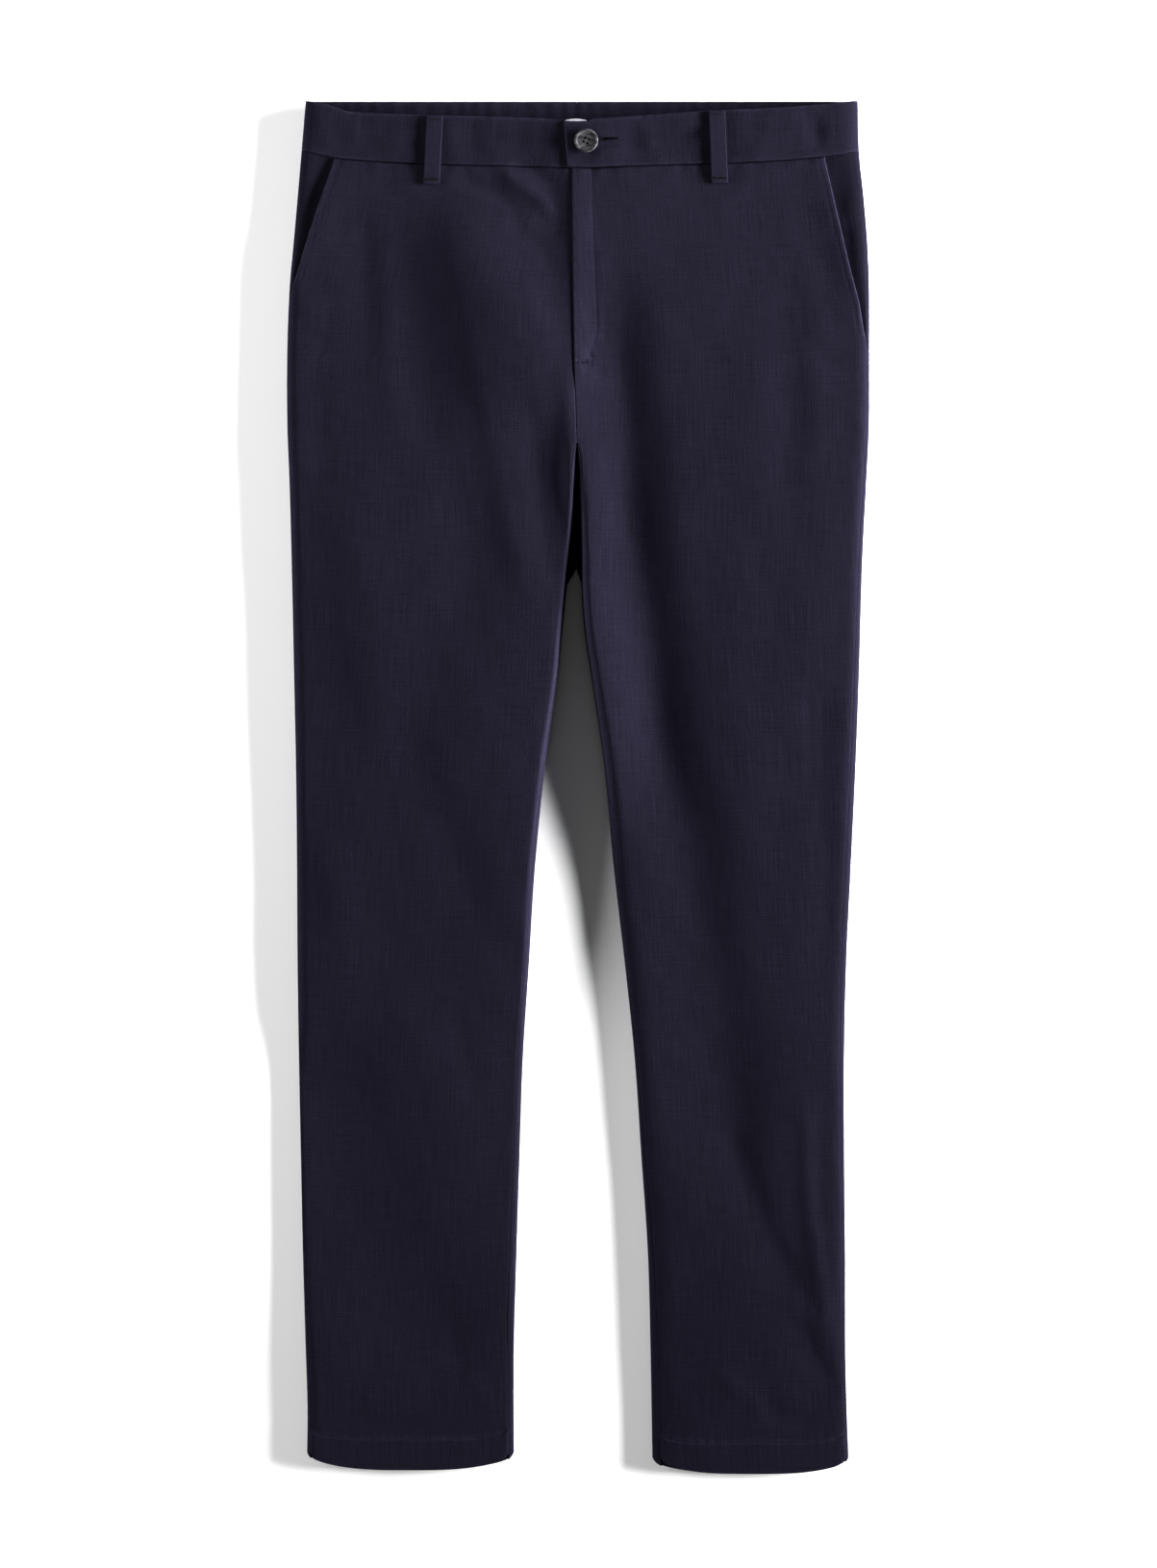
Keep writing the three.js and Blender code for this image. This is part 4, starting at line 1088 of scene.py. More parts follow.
    def build(self) -> bpy.types.Object:
        """Builds the panel as one shell: the under layer, and the inner layer sewn to it at the fork."""
        lay = self.lay
        lines = (lay.hem_down - self.hem_turn, lay.crotch_down, lay.fork_down)
        rows = fine_steps(lay.waist_down + self.half_gap, lay.hem_down, self.pitch, lines)[:, None]
        flipped = self.side is Side.RIGHT
        under_section = self.under_rows(rows)
        legs = rows[rows[:, 0] > lay.crotch_down + 0.1]
        fork_section = self.fork_rows(legs)
        under = Shell.from_grid(self.surface(under_section, rows), flipped)
        fork = Shell.from_grid(self.surface(fork_section, legs), flipped, anchor=1.0)
        under_index = np.arange(under_section[0].size).reshape(under_section[0].shape)
        fork_index = np.arange(fork_section[0].size).reshape(fork_section[0].shape)
        mine = under_index[rows[:, 0] >= lay.fork_down, -1]
        theirs = fork_index[legs[:, 0] >= lay.fork_down, 0]
        return under.sewn_to(fork, mine, theirs).piece("cloth_back_" + self.side.word)


@dataclass
class PocketFacing:
    """The cloth in a pocket's opening, sewn to the side seam and tucked under the front."""

    lay: Lay
    side: Side
    cloth: float = CLOTH
    half_gap: float = HALF_GAP
    pitch: float = 3.0
    dip: float = 1.5
    tuck: float = 11.0

    def build(self) -> bpy.types.Object:
        """Builds the facing as a shell."""
        lay, side, sign = self.lay, self.side, self.side.value
        pocket = POCKETS[side]
        rows = fine_steps(lay.waist_down + self.half_gap, pocket.end, self.pitch)
        outer = lay.outseam(side, rows) - sign * self.half_gap
        inner = pocket.edge(rows) - sign * self.tuck
        x = fine_columns(outer, inner, 14, EDGE_STEPS[:4], EDGE_STEPS[:3])
        down = rows[:, None]
        opening = np.abs(pocket.edge(down) - outer[:, None]) + 1.0
        from_outer = np.abs(x - outer[:, None])
        at = down + lay.waist_dip(x, down)
        z = lay.top(side, x, at) - self.dip * smooth(from_outer / opening)
        z = z + 0.3 * edge_roll(from_outer, 1.0) + 0.12 * np.sin(down / 9.0 + x / 5.0)
        out_x, out_z = lay.upper_out(side, x, at)
        wear = 0.3 * bell(from_outer, 1.5)
        surface = Surface.make(
            x=x, down=at, z=z, out_x=out_x, out_z=out_z, cloth=np.array(self.cloth), wear=wear
        )
        name = "cloth_pocket_facing_" + side.word
        return Shell.from_grid(surface, side is Side.LEFT).piece(name)


@dataclass
class Waistband:
    """Half of the waistband: from the fly along the front, round the side and along the back."""

    lay: Lay
    side: Side
    cloth: float = 1.4
    half_gap: float = HALF_GAP
    proud: float = 0.4
    flap_top: tuple[float, float] = (-11.4, 15.0)
    flap_foot: tuple[float, float] = (-8.3, 53.0)
    flap_lift: float = 1.7
    flap_full: float = 34.0
    flap_fade: float = 28.0
    underlap: float = 30.0
    low_round: float = 4.0
    slack: float = 0.22
    front_steps: int = 120
    arc_steps: int = 8
    back_steps: int = 100
    slot_start: float = 7.5
    slot_end: float = 30.0
    slot_half_width: float = 0.5
    height_at_slot: float = 37.6
    slot_share: float = 0.568
    pinch: float = 1.3
    pinch_length: float = 24.0
    pinch_reach: float = 3.5

    @property
    def slot_half(self) -> float:
        """Half the slot's width, as a share of the band's height there."""
        return self.slot_half_width / self.height_at_slot

    def flap_edge(self, down: Array) -> Array:
        """x of the flap's edge, which leans as the band does between its two corners (x, down)."""
        (top_x, top_down), (foot_x, foot_down) = self.flap_top, self.flap_foot
        return mix(top_x, foot_x, clamp01((down - top_down) / (foot_down - top_down)))

    def flap_raised(self, x: Array, down: Array) -> Array:
        """How far the buttoned end stands over the end under it."""
        if self.side is Side.RIGHT:
            return np.zeros_like(x)
        behind = smooth((x - self.flap_edge(down) - self.flap_full) / self.flap_fade)
        return self.flap_lift * (1.0 - behind)

    def shares(self) -> Array:
        """Heights of the rows, from the seam (0) to the top edge (1), closer at edges and slot."""
        height = self.lay.waist_down
        edge = np.array((0.0, 0.3, 0.7, 1.2, 2.0, 3.2)) / height
        even = np.linspace(0.11, 0.89, 15)
        middle = self.slot_share
        slot = self.slot_half
        around = middle + np.array((-2.6 * slot, -slot, slot, 2.6 * slot))
        even = even[np.abs(even - middle) > 3.6 * slot]
        return np.sort(np.concatenate((edge, 1.0 - edge, even, around)))

    def front(self, x: Array, share: Array) -> Surface:
        """The outer face of the front stretch.

        Args:
            x: Places across.
            share: Height in the band, from its seam (0) to its top edge (1).

        Returns:
            The points.
        """
        lay, side = self.lay, self.side
        seam, top_edge = lay.waist_seam(x) - self.half_gap, lay.waist_top(x)
        at = mix(seam, top_edge, share)
        if side is Side.LEFT:
            off = at - mix(seam, top_edge, self.slot_share)
            wedge = self.pinch * (1.0 - smooth((x - self.slot_start) / self.pinch_length))
            at = at + wedge * np.sign(off) * np.exp(-np.abs(off) / self.pinch_reach)
        from_side = np.abs(x - lay.outer(side, at))
        proud = self.proud * smooth(from_side / 14.0)
        z = lay.top(side, x, at) + proud + self.flap_raised(x, at)
        z = z + self.waves(x, at) * smooth(from_side / 20.0)
        from_top, from_seam = at - top_edge, seam - at
        z = z + 0.9 * edge_roll(from_top, 1.1) + 0.8 * edge_roll(from_seam, 0.9)
        start = self.flap_edge(at)
        if side is Side.LEFT:
            z = z + 0.9 * edge_roll(x - start, 1.1)
        edge = np.maximum(bell(from_top - 0.6, 1.5), 0.6 * bell(from_seam - 0.8, 1.2))
        if side is Side.LEFT:
            edge = np.maximum(edge, bell(x - start - 0.6, 1.4))
        out_x, out_z = lay.upper_out(side, x, at)
        return Surface.make(
            x=x, down=at, z=z, out_x=out_x, out_z=out_z, cloth=np.array(self.cloth), wear=0.9 * edge
        )

    def waves(self, x: Array, down: Array) -> Array:
        """Slight waves of the stiff band: a few sines of differing length, leaning a little."""
        wave = 0.2 * np.sin(x / 11.0 + down / 30.0) + 0.15 * np.sin(x / 6.3 - down / 19.0 + 1.0)
        wave = wave + 0.09 * np.sin(x / 3.4 + 2.0 * np.sin(x / 29.0)) * np.sin(down / 9.0 + x / 40.0)
        return wave + sum(fold.relief(x, down) for fold in BAND_FOLDS)

    def build(self) -> bpy.types.Object:
        """Builds the half band as a shell, with the slot of the buttonhole in the left one."""
        lay, side, sign = self.lay, self.side, self.side.value
        share = self.shares()[:, None]
        side_down = mix(lay.waist_down - self.half_gap, 0.0, share)
        edge = lay.outer(side, side_down)
        start = self.flap_edge(mix(self.flap_foot[1], self.flap_top[1], share))
        start = start + (self.half_gap if side is Side.LEFT else self.underlap)
        near = np.concatenate(((0.0, 0.3, 0.8), np.arange(1.5, 46.0, 1.5)))
        steps = np.linspace(0.0, 1.0, self.front_steps + 1 - len(near))[None, 1:]
        first = start + sign * near[None, :]
        x = np.concatenate((first, mix(first[:, -1:], edge, np.sin(math.pi / 2.0 * steps))), axis=1)
        front = self.front(x, share)
        turn = np.linspace(0.0, math.pi / 2.0, self.arc_steps + 1)[None, :]
        floor = lay.loop_clear - self.proud
        rim = lay.rim(side_down) - lay.rim_wall / 2.0
        arc_z = floor + (rim - floor) * (1.0 - np.sin(turn))
        arc_x = edge - sign * self.low_round * (1.0 - np.cos(turn))
        flat_share = (np.arange(1, self.back_steps + 1) / self.back_steps)[None, :]
        flat_x = mix(arc_x[:, -1:], lay.seat_x + sign * self.half_gap, flat_share)
        round_x = np.concatenate((arc_x, flat_x), axis=1)
        flat_z = np.full_like(flat_x, floor)
        round_z = np.concatenate((np.broadcast_to(arc_z, arc_x.shape), flat_z), axis=1)
        turned = np.concatenate((turn[0], np.full(self.back_steps, math.pi / 2.0)))[None, :]
        from_top, from_seam = side_down, lay.waist_down - side_down
        roll = 0.8 * edge_roll(from_top, 1.1) + 0.45 * edge_roll(from_seam, 1.2)
        on_back = np.sin(turned) ** 4
        slack = self.slack * np.sin(round_x / 2.1 + 2.0 * np.sin(round_x / 14.0))
        back = Surface.make(
            x=round_x,
            down=side_down,
            z=round_z + (slack - roll) * on_back,
            out_x=sign * np.cos(turned),
            out_z=-np.sin(turned),
            cloth=np.array(self.cloth),
            wear=0.9 * np.maximum(bell(from_top - 0.6, 1.5), 0.6 * bell(from_seam - 0.8, 1.2)),
        )
        parts = [np.concatenate(pair, axis=1) for pair in zip(vars(front).values(), vars(back).values())]
        shell = Shell.from_grid(Surface(*parts), side is Side.RIGHT)
        if side is Side.LEFT:
            shell = shell.without(self.slot_quads(shell))
        shell.quads = shell.quads[:, ::-1]
        return shell.piece("cloth_waistband_" + side.word)

    def slot_quads(self, shell: Shell) -> Array:
        """Which quads lie in the buttonhole's slot."""
        middle = shell.points[shell.quads].mean(axis=1)
        down = HALF_LENGTH - middle[:, 1]
        seam, top_edge = self.lay.waist_seam(middle[:, 0]), self.lay.waist_top(middle[:, 0])
        share = (seam - down) / (seam - top_edge)
        inside = np.abs(share - self.slot_share) < self.slot_half
        on_top = middle[:, 2] > self.lay.rim(down)
        return inside & on_top & (middle[:, 0] > self.slot_start) & (middle[:, 0] < self.slot_end)


@dataclass
class BeltLoop:
    """A strap of folded cloth, sewn down at both ends."""

    lay: Lay
    name: str
    x: float
    width: float = 12.8
    cloth: float = 1.3
    top: float = 0.6
    tail: float = 16.0
    bulge: float = 0.6
    lean: float = 2.4
    proud: float = 0.4
    step_down: float = 6.0
    lay_gap: float = 0.2
    side_turn: float = 0.28
    end_turn: float = 0.4
    crease_up: float = 3.4
    crease_depth: float = 0.45
    puff_up: float = 5.2
    puff: float = 0.3

    @property
    def on_front(self) -> bool:
        """Whether the loop lies on the front, by its name."""
        return "front" in self.name

    def surface(self, across: Array, along: Array) -> Surface:
        """The strap's face by the share across it and along it.

        It follows the band, stands off a little half way, and steps down to the panel below the
        seam. Its edges are turned, and a crease crosses it over the turned-under lower end.

        Args:
            across: From -0.5 to 0.5.
            along: From the top end (0) to the lower end (1).

        Returns:
            The points.
        """
        lay = self.lay
        centre = np.array(self.x)
        start = self.top + (lay.waist_top(centre) if self.on_front else 0.0)
        seam = lay.waist_seam(centre) if self.on_front else lay.waist_down
        end = seam + self.tail
        down = mix(start, end, along)
        from_side = (0.5 - np.abs(across)) * self.width
        from_end = np.minimum(along, 1.0 - along) * (end - start)
        shape = self.side_turn * edge_roll(from_side, 0.9) + self.end_turn * edge_roll(from_end, 0.9)
        shape = shape + self.puff * bell(end - down - self.puff_up, 1.5)
        shape = shape - self.crease_depth * bell(end - down - self.crease_up, 0.6)
        shape = shape - 0.35 * across + 0.2 * np.sin(down / 2.4 + self.x)
        wear = np.maximum(0.2 * bell(from_side - 0.5, 1.1), 0.2 * bell(from_end - 0.5, 1.0))
        if not self.on_front:
            x = centre + across * self.width
            z = np.zeros_like(down) - shape * 0.7
            return Surface.make(
                x=x, down=down, z=z, out_x=np.zeros_like(x), out_z=-np.ones_like(x),
                cloth=np.array(self.cloth), wear=wear,
            )
        x = centre + np.sign(centre) * self.lean * (along - 0.5) + across * self.width
        proud = self.proud * (1.0 - smooth((down - seam) / self.step_down))
        lift = proud + self.lay_gap + self.bulge * np.sin(math.pi * along) ** 0.8 + self.cloth
        z = lay.face(x, down) + lift + shape
        return Surface.make(
            x=x, down=down, z=z, out_x=np.zeros_like(x), out_z=np.ones_like(x),
            cloth=np.array(self.cloth), wear=wear,
        )

    def build(self) -> bpy.types.Object:
        """Builds the strap as a shell."""
        near = np.array((0.0, 0.25, 0.6, 1.0, 1.6, 2.2, 2.8)) / self.width
        across = np.concatenate((-0.5 + near, np.linspace(-0.2, 0.2, 5), 0.5 - near[::-1]))
        ends = np.array((0.0, 0.3, 0.7, 1.2)) / 52.0
        along = np.concatenate((ends, np.linspace(0.04, 0.96, 40), 1.0 - ends[::-1]))
        surface = self.surface(across[None, :], along[:, None])
        return Shell.from_grid(surface, not self.on_front).piece("cloth_" + self.name)


@dataclass
class Label:
    """A plain woven tape on the inside of the back waistband."""

    left: float = -10.4
    right: float = 6.6
    top: float = 14.4
    arc: float = 1.2
    bottom: float = 40.0
    height: float = 4.0
    cloth: float = 0.8
    curl: float = 5.5
    curl_length: float = 14.0

    def build(self) -> bpy.types.Object:
        """Builds the tape as a shell with a slight wave, curling up towards its top edge."""
        x = np.linspace(self.left, self.right, 24)[None, :]
        level = np.linspace(0.0, 1.0, 30)[:, None]
        middle, half = (self.right + self.left) / 2.0, (self.right - self.left) / 2.0
        top = self.top + self.arc * ((x - middle) / half) ** 2
        down = mix(top, self.bottom, level)
        curl = self.curl * (1.0 - smooth((down - self.top) / self.curl_length))
        z = self.height + self.cloth + curl + 0.08 * np.sin(x / 3.0) * np.cos(down / 4.0)
        surface = Surface.make(
            x=x, down=down, z=z, out_x=np.array(0.0), out_z=np.array(1.0),
            cloth=np.array(self.cloth), wear=np.array(0.0),
        )
        return Shell.from_grid(surface, False).piece("woven_label")


@dataclass
class Button:
    """A round button with a raised rim, a dished face and four sewing holes."""

    lay: Lay
    band: Waistband
    x: float = 6.3
    down: float = 32.7
    radius: float = 9.3
    hole_radius: float = 1.0
    hole_pitch: float = 2.3
    turned: float = 0.35
    sides: int = 96
    section: tuple[tuple[float, float], ...] = (
        (9.3, 0.0), (2.4, 0.0), (1.2, 0.25), (0.35, 0.9), (0.0, 1.5), (0.1, 2.1), (0.45, 2.7),
        (0.8, 2.95), (1.15, 2.98), (1.5, 2.85), (1.85, 2.6), (2.3, 2.42), (3.2, 2.32), (5.6, 2.16),
        (9.3, 2.1),
    )

    def seat(self) -> float:
        """Height of the button's underside, on the highest place of the flap under it."""
        x = self.x + self.radius * np.array((-1.0, 0.0, 1.0))
        down = np.full(3, self.down)
        face = self.lay.face(x, down) + self.band.flap_raised(x, down)
        return float(face.max()) + self.band.proud + 0.35

    def build(self) -> bpy.types.Object:
        """Turns the section round the axis and cuts the holes."""
        rows = np.array(self.section)
        radius = np.maximum(self.radius - rows[:, :1], 0.02)
        turn = np.linspace(0.0, 2.0 * math.pi, self.sides, endpoint=False)[None, :]
        height = np.broadcast_to(rows[:, 1:], (len(rows), self.sides))
        points = np.stack((radius * np.cos(turn), radius * np.sin(turn), height), axis=-1)
        index = np.arange(len(rows) * self.sides).reshape(len(rows), self.sides)
        following = np.roll(index, -1, axis=1)
        quads = np.stack((index[:-1], following[:-1], following[1:], index[1:]), axis=-1)
        faces = quads.reshape(-1, 4)[:, ::-1]
        centre = np.array((self.x, HALF_LENGTH - self.down, self.seat()))
        mesh = bpy.data.meshes.new("sewn_button")
        caps = [index[0].tolist(), index[-1][::-1].tolist()]
        mesh.from_pydata(((points.reshape(-1, 3) + centre) * MM).tolist(), [], faces.tolist() + caps)
        button = linked("sewn_button", mesh)
        cutter = self.cutter(centre)
        cut = button.modifiers.new("holes", "BOOLEAN")
        cut.object, cut.operation, cut.solver = cutter, "DIFFERENCE", "EXACT"
        graph = bpy.context.evaluated_depsgraph_get()
        holed = bpy.data.meshes.new_from_object(button.evaluated_get(graph))
        button.modifiers.clear()
        button.data = holed
        bpy.data.objects.remove(cutter)
        holed.polygons.foreach_set("use_smooth", np.ones(len(holed.polygons), dtype=bool))
        holed.set_sharp_from_angle(angle=math.radians(40.0))
        return button

    def hole_centres(self) -> Array:
        """x and y of the holes round the button's middle."""
        turn = self.turned + np.arange(4) * math.pi / 2.0
        return self.hole_pitch * np.stack((np.cos(turn), np.sin(turn)), axis=-1)

    def cutter(self, centre: Array) -> bpy.types.Object:
        """Four upright pins that cut the holes."""
        sides = 24
        turn = np.linspace(0.0, 2.0 * math.pi, sides, endpoint=False)
        ring = self.hole_radius * np.stack((np.cos(turn), np.sin(turn)), axis=-1)
        points, faces = [], []
        for number, hole in enumerate(self.hole_centres()):
            first = number * 2 * sides
            for z in (-1.0, 5.0):
                height = np.full((sides, 1), z)
                points.append(np.concatenate((ring + hole, height), axis=1) + centre)
            low = list(range(first, first + sides))
            high = list(range(first + sides, first + 2 * sides))
            faces += [low[::-1], high]
            faces += [
                [low[i], low[(i + 1) % sides], high[(i + 1) % sides], high[i]] for i in range(sides)
            ]
        mesh = bpy.data.meshes.new("pins")
        mesh.from_pydata((np.concatenate(points) * MM).tolist(), [], faces)
        return linked("pins", mesh)


@dataclass
class Sewing:
    """Rows of stitches as thread meshes."""

    radius: float = 0.15
    stations: int = 5
    sides: int = 5

    def threads(self, starts: Array, ends: Array, up: Array, arch: float, sink: float) -> tuple:
        """Tapered arched threads from start to end.

        Each centreline is the straight line from start to end, raised by half a sine; rings round it
        are widest half way.

        Args:
            starts: One point for each stitch.
            ends: The other end of each stitch.
            up: The way that each stitch stands up.
            arch: Height of the half sine.
            sink: How deep the ends lie under the face.

        Returns:
            The points, and the faces as quads and as end caps.
        """
        count = len(starts)
        t = np.linspace(0.0, 1.0, self.stations)[None, :, None]
        swell = np.sin(math.pi * np.linspace(0.08, 0.92, self.stations))[None, :, None]
        line = mix(starts[:, None], ends[:, None], t) + up[:, None] * (arch * swell - sink)
        along = ends - starts
        along = along / np.linalg.norm(along, axis=-1, keepdims=True)
        beside = np.cross(along, up)
        turn = np.linspace(0.0, 2.0 * math.pi, self.sides, endpoint=False)
        ring = np.cos(turn)[:, None] * beside[:, None, :] + np.sin(turn)[:, None] * up[:, None, :]
        width = self.radius * (0.45 + 0.55 * swell)
        points = line[:, :, None, :] + ring[:, None] * width[..., None]
        index = np.arange(count * self.stations * self.sides)
        index = index.reshape(count, self.stations, self.sides)
        following = np.roll(index, -1, axis=2)
        quads = np.stack((index[:, :-1], following[:, :-1], following[:, 1:], index[:, 1:]), axis=-1)
        caps = np.concatenate((index[:, 0, ::-1], index[:, -1]))
        return points.reshape(-1, 3), quads.reshape(-1, 4), caps

    def piece(self, name: str, parts: list[tuple]) -> bpy.types.Object:
        """Joins several rows of threads into one object."""
        points, faces, count = [], [], 0
        for places, quads, caps in parts:
            points.append(places)
            faces += (quads + count).tolist() + (caps + count).tolist()
            count += len(places)
        mesh = bpy.data.meshes.new(name)
        mesh.from_pydata((np.concatenate(points) * MM).tolist(), [], faces)
        mesh.polygons.foreach_set("use_smooth", np.ones(len(mesh.polygons), dtype=bool))
        return linked(name, mesh)

    def row(self, surface: Surface, pitch: float = 3.0, fill: float = 0.78) -> tuple:
        """Stitches along a path on a surface, each a share of the pitch long."""
        path, up = surface.places(), surface.facing()
        travelled = np.concatenate(([0.0], np.linalg.norm(np.diff(path, axis=0), axis=1).cumsum()))
        count = max(1, int(travelled[-1] / pitch))
        first = np.arange(count) * travelled[-1] / count
        last = first + fill * travelled[-1] / count
        starts, ends, ups = (
            np.stack([np.interp(place, travelled, values[:, k]) for k in range(3)], axis=-1)
            for place, values in ((first, path), (last, path), (first, up))
        )
        ups = ups / np.linalg.norm(ups, axis=-1, keepdims=True)
        return self.threads(starts, ends, ups, arch=0.1, sink=0.14)

    def bars(self, starts: Surface, ends: Surface) -> tuple:
        """Stitches side by side, as in a bartack or round a buttonhole."""
        return self.threads(starts.places(), ends.places(), starts.facing(), arch=0.12, sink=0.16)


def display_colour(red: float, green: float, blue: float) -> tuple[float, float, float, float]:
    """Turns display values from 0 to 255 into linear light."""
    shares = np.array((red, green, blue)) / 255.0
    linear = np.where(shares <= 0.04045, shares / 12.92, ((shares + 0.055) / 1.055) ** 2.4)
    return (*linear.tolist(), 1.0)


class NodeSheet:
    """Short ways to add and join shader nodes in one tree."""

    def __init__(self, tree: bpy.types.NodeTree) -> None:
        """Starts on a tree."""
        self.tree = tree

    def add(self, kind: str, **settings: object) -> bpy.types.Node:
        """Adds a node and sets its properties."""
        node = self.tree.nodes.new("ShaderNode" + kind)
        for name, value in settings.items():
            setattr(node, name, value)
        return node

    def join(self, source: bpy.types.NodeSocket, target: bpy.types.NodeSocket) -> None:
        """Joins two sockets."""
        self.tree.links.new(source, target)

    def math(self, operation: str, first: object, second: object = 0.0) -> bpy.types.NodeSocket:
        """Adds a math node whose inputs are sockets or numbers, and returns its result."""
        node = self.add("Math", operation=operation)
        for socket, value in zip(node.inputs, (first, second)):
            if isinstance(value, bpy.types.NodeSocket):
                self.join(value, socket)
            else:
                socket.default_value = value
        return node.outputs[0]

    def noise(self, vector: bpy.types.NodeSocket, scale: tuple, detail: float) -> bpy.types.NodeSocket:
        """Adds noise over a vector that is stretched by a scale for each axis."""
        mapping = self.add("Mapping")
        mapping.inputs["Scale"].default_value = scale
        self.join(vector, mapping.inputs["Vector"])
        noise = self.add("TexNoise")
        noise.inputs["Scale"].default_value = 1.0
        noise.inputs["Detail"].default_value = detail
        self.join(mapping.outputs[0], noise.inputs["Vector"])
        return noise.outputs[0]

    def spread(self, value: bpy.types.NodeSocket, low: float, high: float) -> bpy.types.NodeSocket:
        """Maps a value's range from low to high onto 0 to 1."""
        node = self.add("MapRange")
        node.inputs["From Min"].default_value = low
        node.inputs["From Max"].default_value = high
        self.join(value, node.inputs["Value"])
        return node.outputs[0]


def group_sheet(name: str, inputs: dict[str, str], outputs: dict[str, str]) -> bpy.types.NodeTree:
    """Makes an empty shader node group with named sockets.

    Args:
        name: Name of the group.
        inputs: Socket type by socket name.
        outputs: Socket type by socket name.

    Returns:
        The group.
    """
    tree = bpy.data.node_groups.new(name, "ShaderNodeTree")
    for direction, sockets in (("INPUT", inputs), ("OUTPUT", outputs)):
        for socket, kind in sockets.items():
            tree.interface.new_socket(socket, in_out=direction, socket_type="NodeSocket" + kind)
    return tree


def twill_group() -> bpy.types.NodeTree:
    """The twill weave: steep diagonal ribs of thread, uneven in thickness.

    The ribs are a sine of a slanted coordinate, bent by noise, and cut by the finer threads that
    cross them.
    """
    tree = group_sheet("twill weave", {"Weave": "Vector", "Pitch": "Float"}, {"Height": "Float"})
    sheet = NodeSheet(tree)
    source, target = tree.nodes.new("NodeGroupInput"), tree.nodes.new("NodeGroupOutput")
    split = sheet.add("SeparateXYZ")
    sheet.join(source.outputs["Weave"], split.inputs[0])
    wobble = sheet.noise(source.outputs["Weave"], (400.0, 400.0, 400.0), 2.0)
    across = sheet.math("DIVIDE", split.outputs["X"], source.outputs["Pitch"])
    along = sheet.math("DIVIDE", split.outputs["Y"], source.outputs["Pitch"])
    slant = sheet.math("ADD", across, sheet.math("MULTIPLY", along, 0.55))
    bent = sheet.math("ADD", slant, sheet.math("MULTIPLY", wobble, 0.9))
    ribs = sheet.math("SINE", sheet.math("MULTIPLY", bent, 2.0 * math.pi))
    picks = sheet.math("SINE", sheet.math("MULTIPLY", along, 4.0 * math.pi))
    height = sheet.math("ADD", ribs, sheet.math("MULTIPLY", picks, 0.35))
    sheet.join(sheet.math("MULTIPLY", height, 0.5), target.inputs["Height"])
    return tree


def yarn_group() -> bpy.types.NodeTree:
    """The unevenness of dyed yarn: slubs along the warp and weft, clouds and fine lint.

    The slubs are noise stretched along one thread direction each, the clouds are broad noise, and
    the lint is fine noise.
    """
    inputs = {"Weave": "Vector", "Wear": "Float"}
    tree = group_sheet("dyed yarn", inputs, {"Shade": "Float", "Fade": "Float", "Lint": "Float"})
    sheet = NodeSheet(tree)
    source, target = tree.nodes.new("NodeGroupInput"), tree.nodes.new("NodeGroupOutput")
    weave = source.outputs["Weave"]
    warp = sheet.noise(weave, (900.0, 26.0, 1.0), 3.0)
    weft = sheet.noise(weave, (34.0, 950.0, 1.0), 2.0)
    clouds = sheet.noise(weave, (9.0, 5.0, 1.0), 3.0)
    grain = sheet.noise(weave, (620.0, 620.0, 1.0), 2.0)
    slubs = sheet.math("ADD", sheet.math("MULTIPLY", warp, 0.42), sheet.math("MULTIPLY", weft, 0.26))
    mixed = sheet.math("ADD", slubs, sheet.math("MULTIPLY", clouds, 0.2))
    mixed = sheet.math("ADD", mixed, sheet.math("MULTIPLY", grain, 0.24))
    sheet.join(sheet.spread(mixed, 0.38, 0.74), target.inputs["Shade"])
    # The lightening that the attribute of wear and painted highlight asks for, broken into patches.
    patches = sheet.spread(sheet.noise(weave, (260.0, 170.0, 1.0), 4.0), 0.3, 0.72)
    fade = sheet.math("MULTIPLY", source.outputs["Wear"], patches)
    sheet.join(fade, target.inputs["Fade"])
    lint = sheet.spread(sheet.noise(weave, (1400.0, 1400.0, 1.0), 0.0), 0.74, 0.82)
    sheet.join(lint, target.inputs["Lint"])
    return tree


class Groups:
    """The shared node groups, built once."""

    made: dict[str, bpy.types.NodeTree] = {}

    @classmethod
    def get(cls, name: str) -> bpy.types.NodeTree:
        """Returns a shared group, building it at its first use."""
        makers = {"twill": twill_group, "yarn": yarn_group}
        if name not in cls.made:
            cls.made[name] = makers[name]()
        return cls.made[name]


def start_material(name: str) -> tuple[bpy.types.Material, NodeSheet, bpy.types.Node]:
    """Makes a material with an empty Principled shader joined to its output."""
    material = bpy.data.materials.new(name)
    material.use_nodes = True
    sheet = NodeSheet(material.node_tree)
    material.node_tree.nodes.clear()
    shader = sheet.add("BsdfPrincipled")
    output = sheet.add("OutputMaterial")
    sheet.join(shader.outputs[0], output.inputs["Surface"])
    return material, sheet, shader


